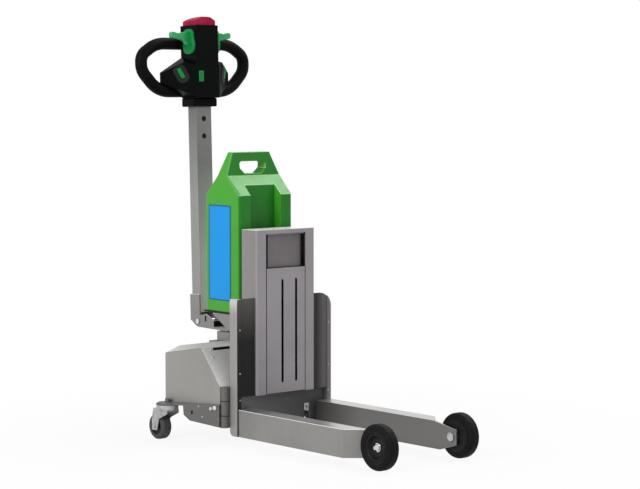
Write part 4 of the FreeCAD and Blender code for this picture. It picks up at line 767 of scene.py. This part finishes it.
def pod_buttons(side, sign):
    """Tilted pad on a pod's swept face, with a green button in its middle."""
    sweep = Vector((-64.0, sign * 84.0)).normalized()
    towards_tip = U * sweep.x + Y * sweep.y
    outward = U * (sweep.y * sign) - Y * (sweep.x * sign)
    tilt = math.radians(28)
    across = towards_tip * math.cos(tilt) - W * math.sin(tilt)
    up = towards_tip * math.sin(tilt) + W * math.cos(tilt)
    centre = on_tiller(HEAD_FRONT, sign * HEAD_HALF, 742) + towards_tip * 47 * MM
    pad = bmesh.new()
    prism(pad, [(-19, -30, 16), (19, -30, 16), (19, 24, 12), (-19, 24, 12)],
          centre - outward * MM, across, up, outward * 3.5 * MM)
    bevelled(pad, 0.0016)
    add_piece("pod_pad_" + side, pad, PAD, "head_shell")
    button = bmesh.new()
    prism(button, [(-6, -16, 3), (6, -16, 3), (6, 16, 3), (-6, 16, 3)], centre, across, up,
          outward * 5.5 * MM)
    bevelled(button, 0.0014)
    add_piece("pod_button_" + side, button, CONTROL, "push_button")


def paddle(side, sign):
    """Waisted thumb plate with a finger that reaches out over the loop."""
    plate = bmesh.new()
    prism(plate, [
        (-22, 799, 19), (22, 799, 19), (27, 827, 14), (22, 850, 16), (24, 874, 16), (-25, 874, 16),
        (-21, 850, 16), (-26, 827, 14),
    ], on_tiller(HEAD_MIDDLE + 10, sign * (HEAD_HALF - 1), 0), U, W, Y * sign * 11 * MM)
    bevelled(plate, 0.003, segments=3)
    add_piece("paddle_plate_" + side, plate, CONTROL, "paddle_" + side, ["paddle_" + side])
    finger = bmesh.new()
    prism(finger, [
        (46, 868, 4), (86, 861, 12), (110, 867, 7), (111, 848, 7), (84, 844, 14), (64, 839, 14),
        (46, 822, 4),
    ], on_tiller(HEAD_MIDDLE - 4, 0, 0), Y * sign, W, U * 16 * MM)
    bevelled(finger, 0.0035, segments=3)
    add_piece("paddle_finger_" + side, finger, CONTROL_TOP, "paddle_" + side)


def head():
    """Shell, collar, loop and buttons of the control head."""
    soften("head_shell", 0.006, segments=3)
    soften("head_collar", 0.0045, segments=3)
    soften("loop_handle", 0.0)
    soften("belly_button", 0.003, segments=3)
    for side, sign in SIDES:
        paddle(side, sign)
        pod_buttons(side, sign)
    soften("push_button", 0.0015, segments=3)


def plain_nodes():
    """Give every CAD node that still shows its finish."""
    for name, node in frame["nodes"].items():
        finish = NODE_FINISH[SLOT[name]]
        if not node.material_slots:
            node.data.materials.append(finish)
        for slot in node.material_slots:
            slot.material = finish


# ---------------------------------------------------------------- studio

def add_camera():
    """Long lens at the machine's front right, a little above its middle."""
    lens = bpy.data.cameras.new("camera")
    lens.lens = 116.07
    lens.sensor_width = 36.0
    camera = bpy.data.objects.new("camera", lens)
    camera.location = (4.4665, -3.77422, 0.99334)
    camera.rotation_euler = (math.radians(90 - 4.19), 0.0, math.radians(49.38))
    bpy.context.scene.collection.objects.link(camera)
    bpy.context.scene.camera = camera


def seen_directly(tree):
    """1 for camera, glossy and transmission rays, 0 for the light that falls on the object."""
    path = tree.nodes.new("ShaderNodeLightPath")
    total = path.outputs["Is Camera Ray"]
    for ray in ("Is Glossy Ray", "Is Transmission Ray"):
        either = tree.nodes.new("ShaderNodeMath")
        either.operation = "MAXIMUM"
        tree.links.new(total, either.inputs[0])
        tree.links.new(path.outputs[ray], either.inputs[1])
        total = either.outputs[0]
    return total


def add_world(level):
    """White surroundings that light the machine at a lower level than they show."""
    world = bpy.data.worlds.new("studio")
    bpy.context.scene.world = world
    world.use_nodes = True
    tree = world.node_tree
    tree.nodes.clear()
    shown = tree.nodes.new("ShaderNodeBackground")
    shown.inputs["Strength"].default_value = 1.0
    light = tree.nodes.new("ShaderNodeBackground")
    light.inputs["Strength"].default_value = level
    mix = tree.nodes.new("ShaderNodeMixShader")
    out = tree.nodes.new("ShaderNodeOutputWorld")
    for shader in (shown, light):
        shader.inputs["Color"].default_value = (1.0, 1.0, 1.0, 1.0)
    tree.links.new(seen_directly(tree), mix.inputs[0])
    tree.links.new(light.outputs[0], mix.inputs[1])
    tree.links.new(shown.outputs[0], mix.inputs[2])
    tree.links.new(mix.outputs[0], out.inputs[0])


def add_floor():
    """White floor that takes the machine's shadow near it and is plain white further out."""
    shape = bmesh.new()
    bmesh.ops.create_grid(shape, x_segments=2, y_segments=2, size=30.0)
    mesh = bpy.data.meshes.new("floor")
    shape.to_mesh(mesh)
    shape.free()
    floor = bpy.data.objects.new("floor", mesh)
    floor.location.z = -0.0006
    bpy.context.scene.collection.objects.link(floor)
    material = bpy.data.materials.new("floor")
    material.use_nodes = True
    tree = material.node_tree
    tree.nodes.clear()
    matt = tree.nodes.new("ShaderNodeBsdfDiffuse")
    matt.inputs["Color"].default_value = (0.80, 0.80, 0.80, 1.0)
    lit = tree.nodes.new("ShaderNodeEmission")
    lit.inputs["Strength"].default_value = 1.0
    place = tree.nodes.new("ShaderNodeTexCoord")
    far = tree.nodes.new("ShaderNodeVectorMath")
    far.operation = "LENGTH"
    tree.links.new(place.outputs["Object"], far.inputs[0])
    share = tree.nodes.new("ShaderNodeMapRange")
    share.interpolation_type = "SMOOTHSTEP"
    for key, number in zip(("From Min", "From Max", "To Min", "To Max"), (0.4, 1.5, 0.9, 1.0)):
        share.inputs[key].default_value = number
    tree.links.new(far.outputs["Value"], share.inputs["Value"])
    direct = tree.nodes.new("ShaderNodeMath")
    direct.operation = "MULTIPLY"
    tree.links.new(share.outputs["Result"], direct.inputs[0])
    tree.links.new(seen_directly(tree), direct.inputs[1])
    mix = tree.nodes.new("ShaderNodeMixShader")
    out = tree.nodes.new("ShaderNodeOutputMaterial")
    tree.links.new(direct.outputs[0], mix.inputs[0])
    tree.links.new(matt.outputs[0], mix.inputs[1])
    tree.links.new(lit.outputs[0], mix.inputs[2])
    tree.links.new(mix.outputs[0], out.inputs[0])
    mesh.materials.append(material)


def add_lamp(name, place, size, power):
    """Soft square lamp that faces the middle of the machine."""
    lamp = bpy.data.lights.new(name, "AREA")
    lamp.size = size
    lamp.energy = power
    holder = bpy.data.objects.new(name, lamp)
    holder.location = place
    aim = Vector((0.0, 0.0, 0.45)) - Vector(place)
    holder.rotation_euler = aim.to_track_quat("-Z", "Y").to_euler()
    bpy.context.scene.collection.objects.link(holder)


def add_studio():
    """Camera, surroundings, floor and three soft lamps."""
    add_camera()
    add_world(0.36)
    add_floor()
    add_lamp("side lamp", (0.6, -4.0, 2.4), 2.6, 122.0)
    add_lamp("front lamp", (3.0, 1.6, 3.4), 2.2, 26.0)
    add_lamp("top lamp", (0.0, 2.2, 3.8), 2.5, 85.0)
    bpy.context.scene.view_settings.view_transform = "Standard"


# ---------------------------------------------------------------- the machine

add_studio()
for side, sign in SIDES:
    front_wheel(side, sign)
    caster(side)
drive_wheel()
frame_sides()
mast()
hood()
caster_arms()
battery()
tiller()
head()
plain_nodes()
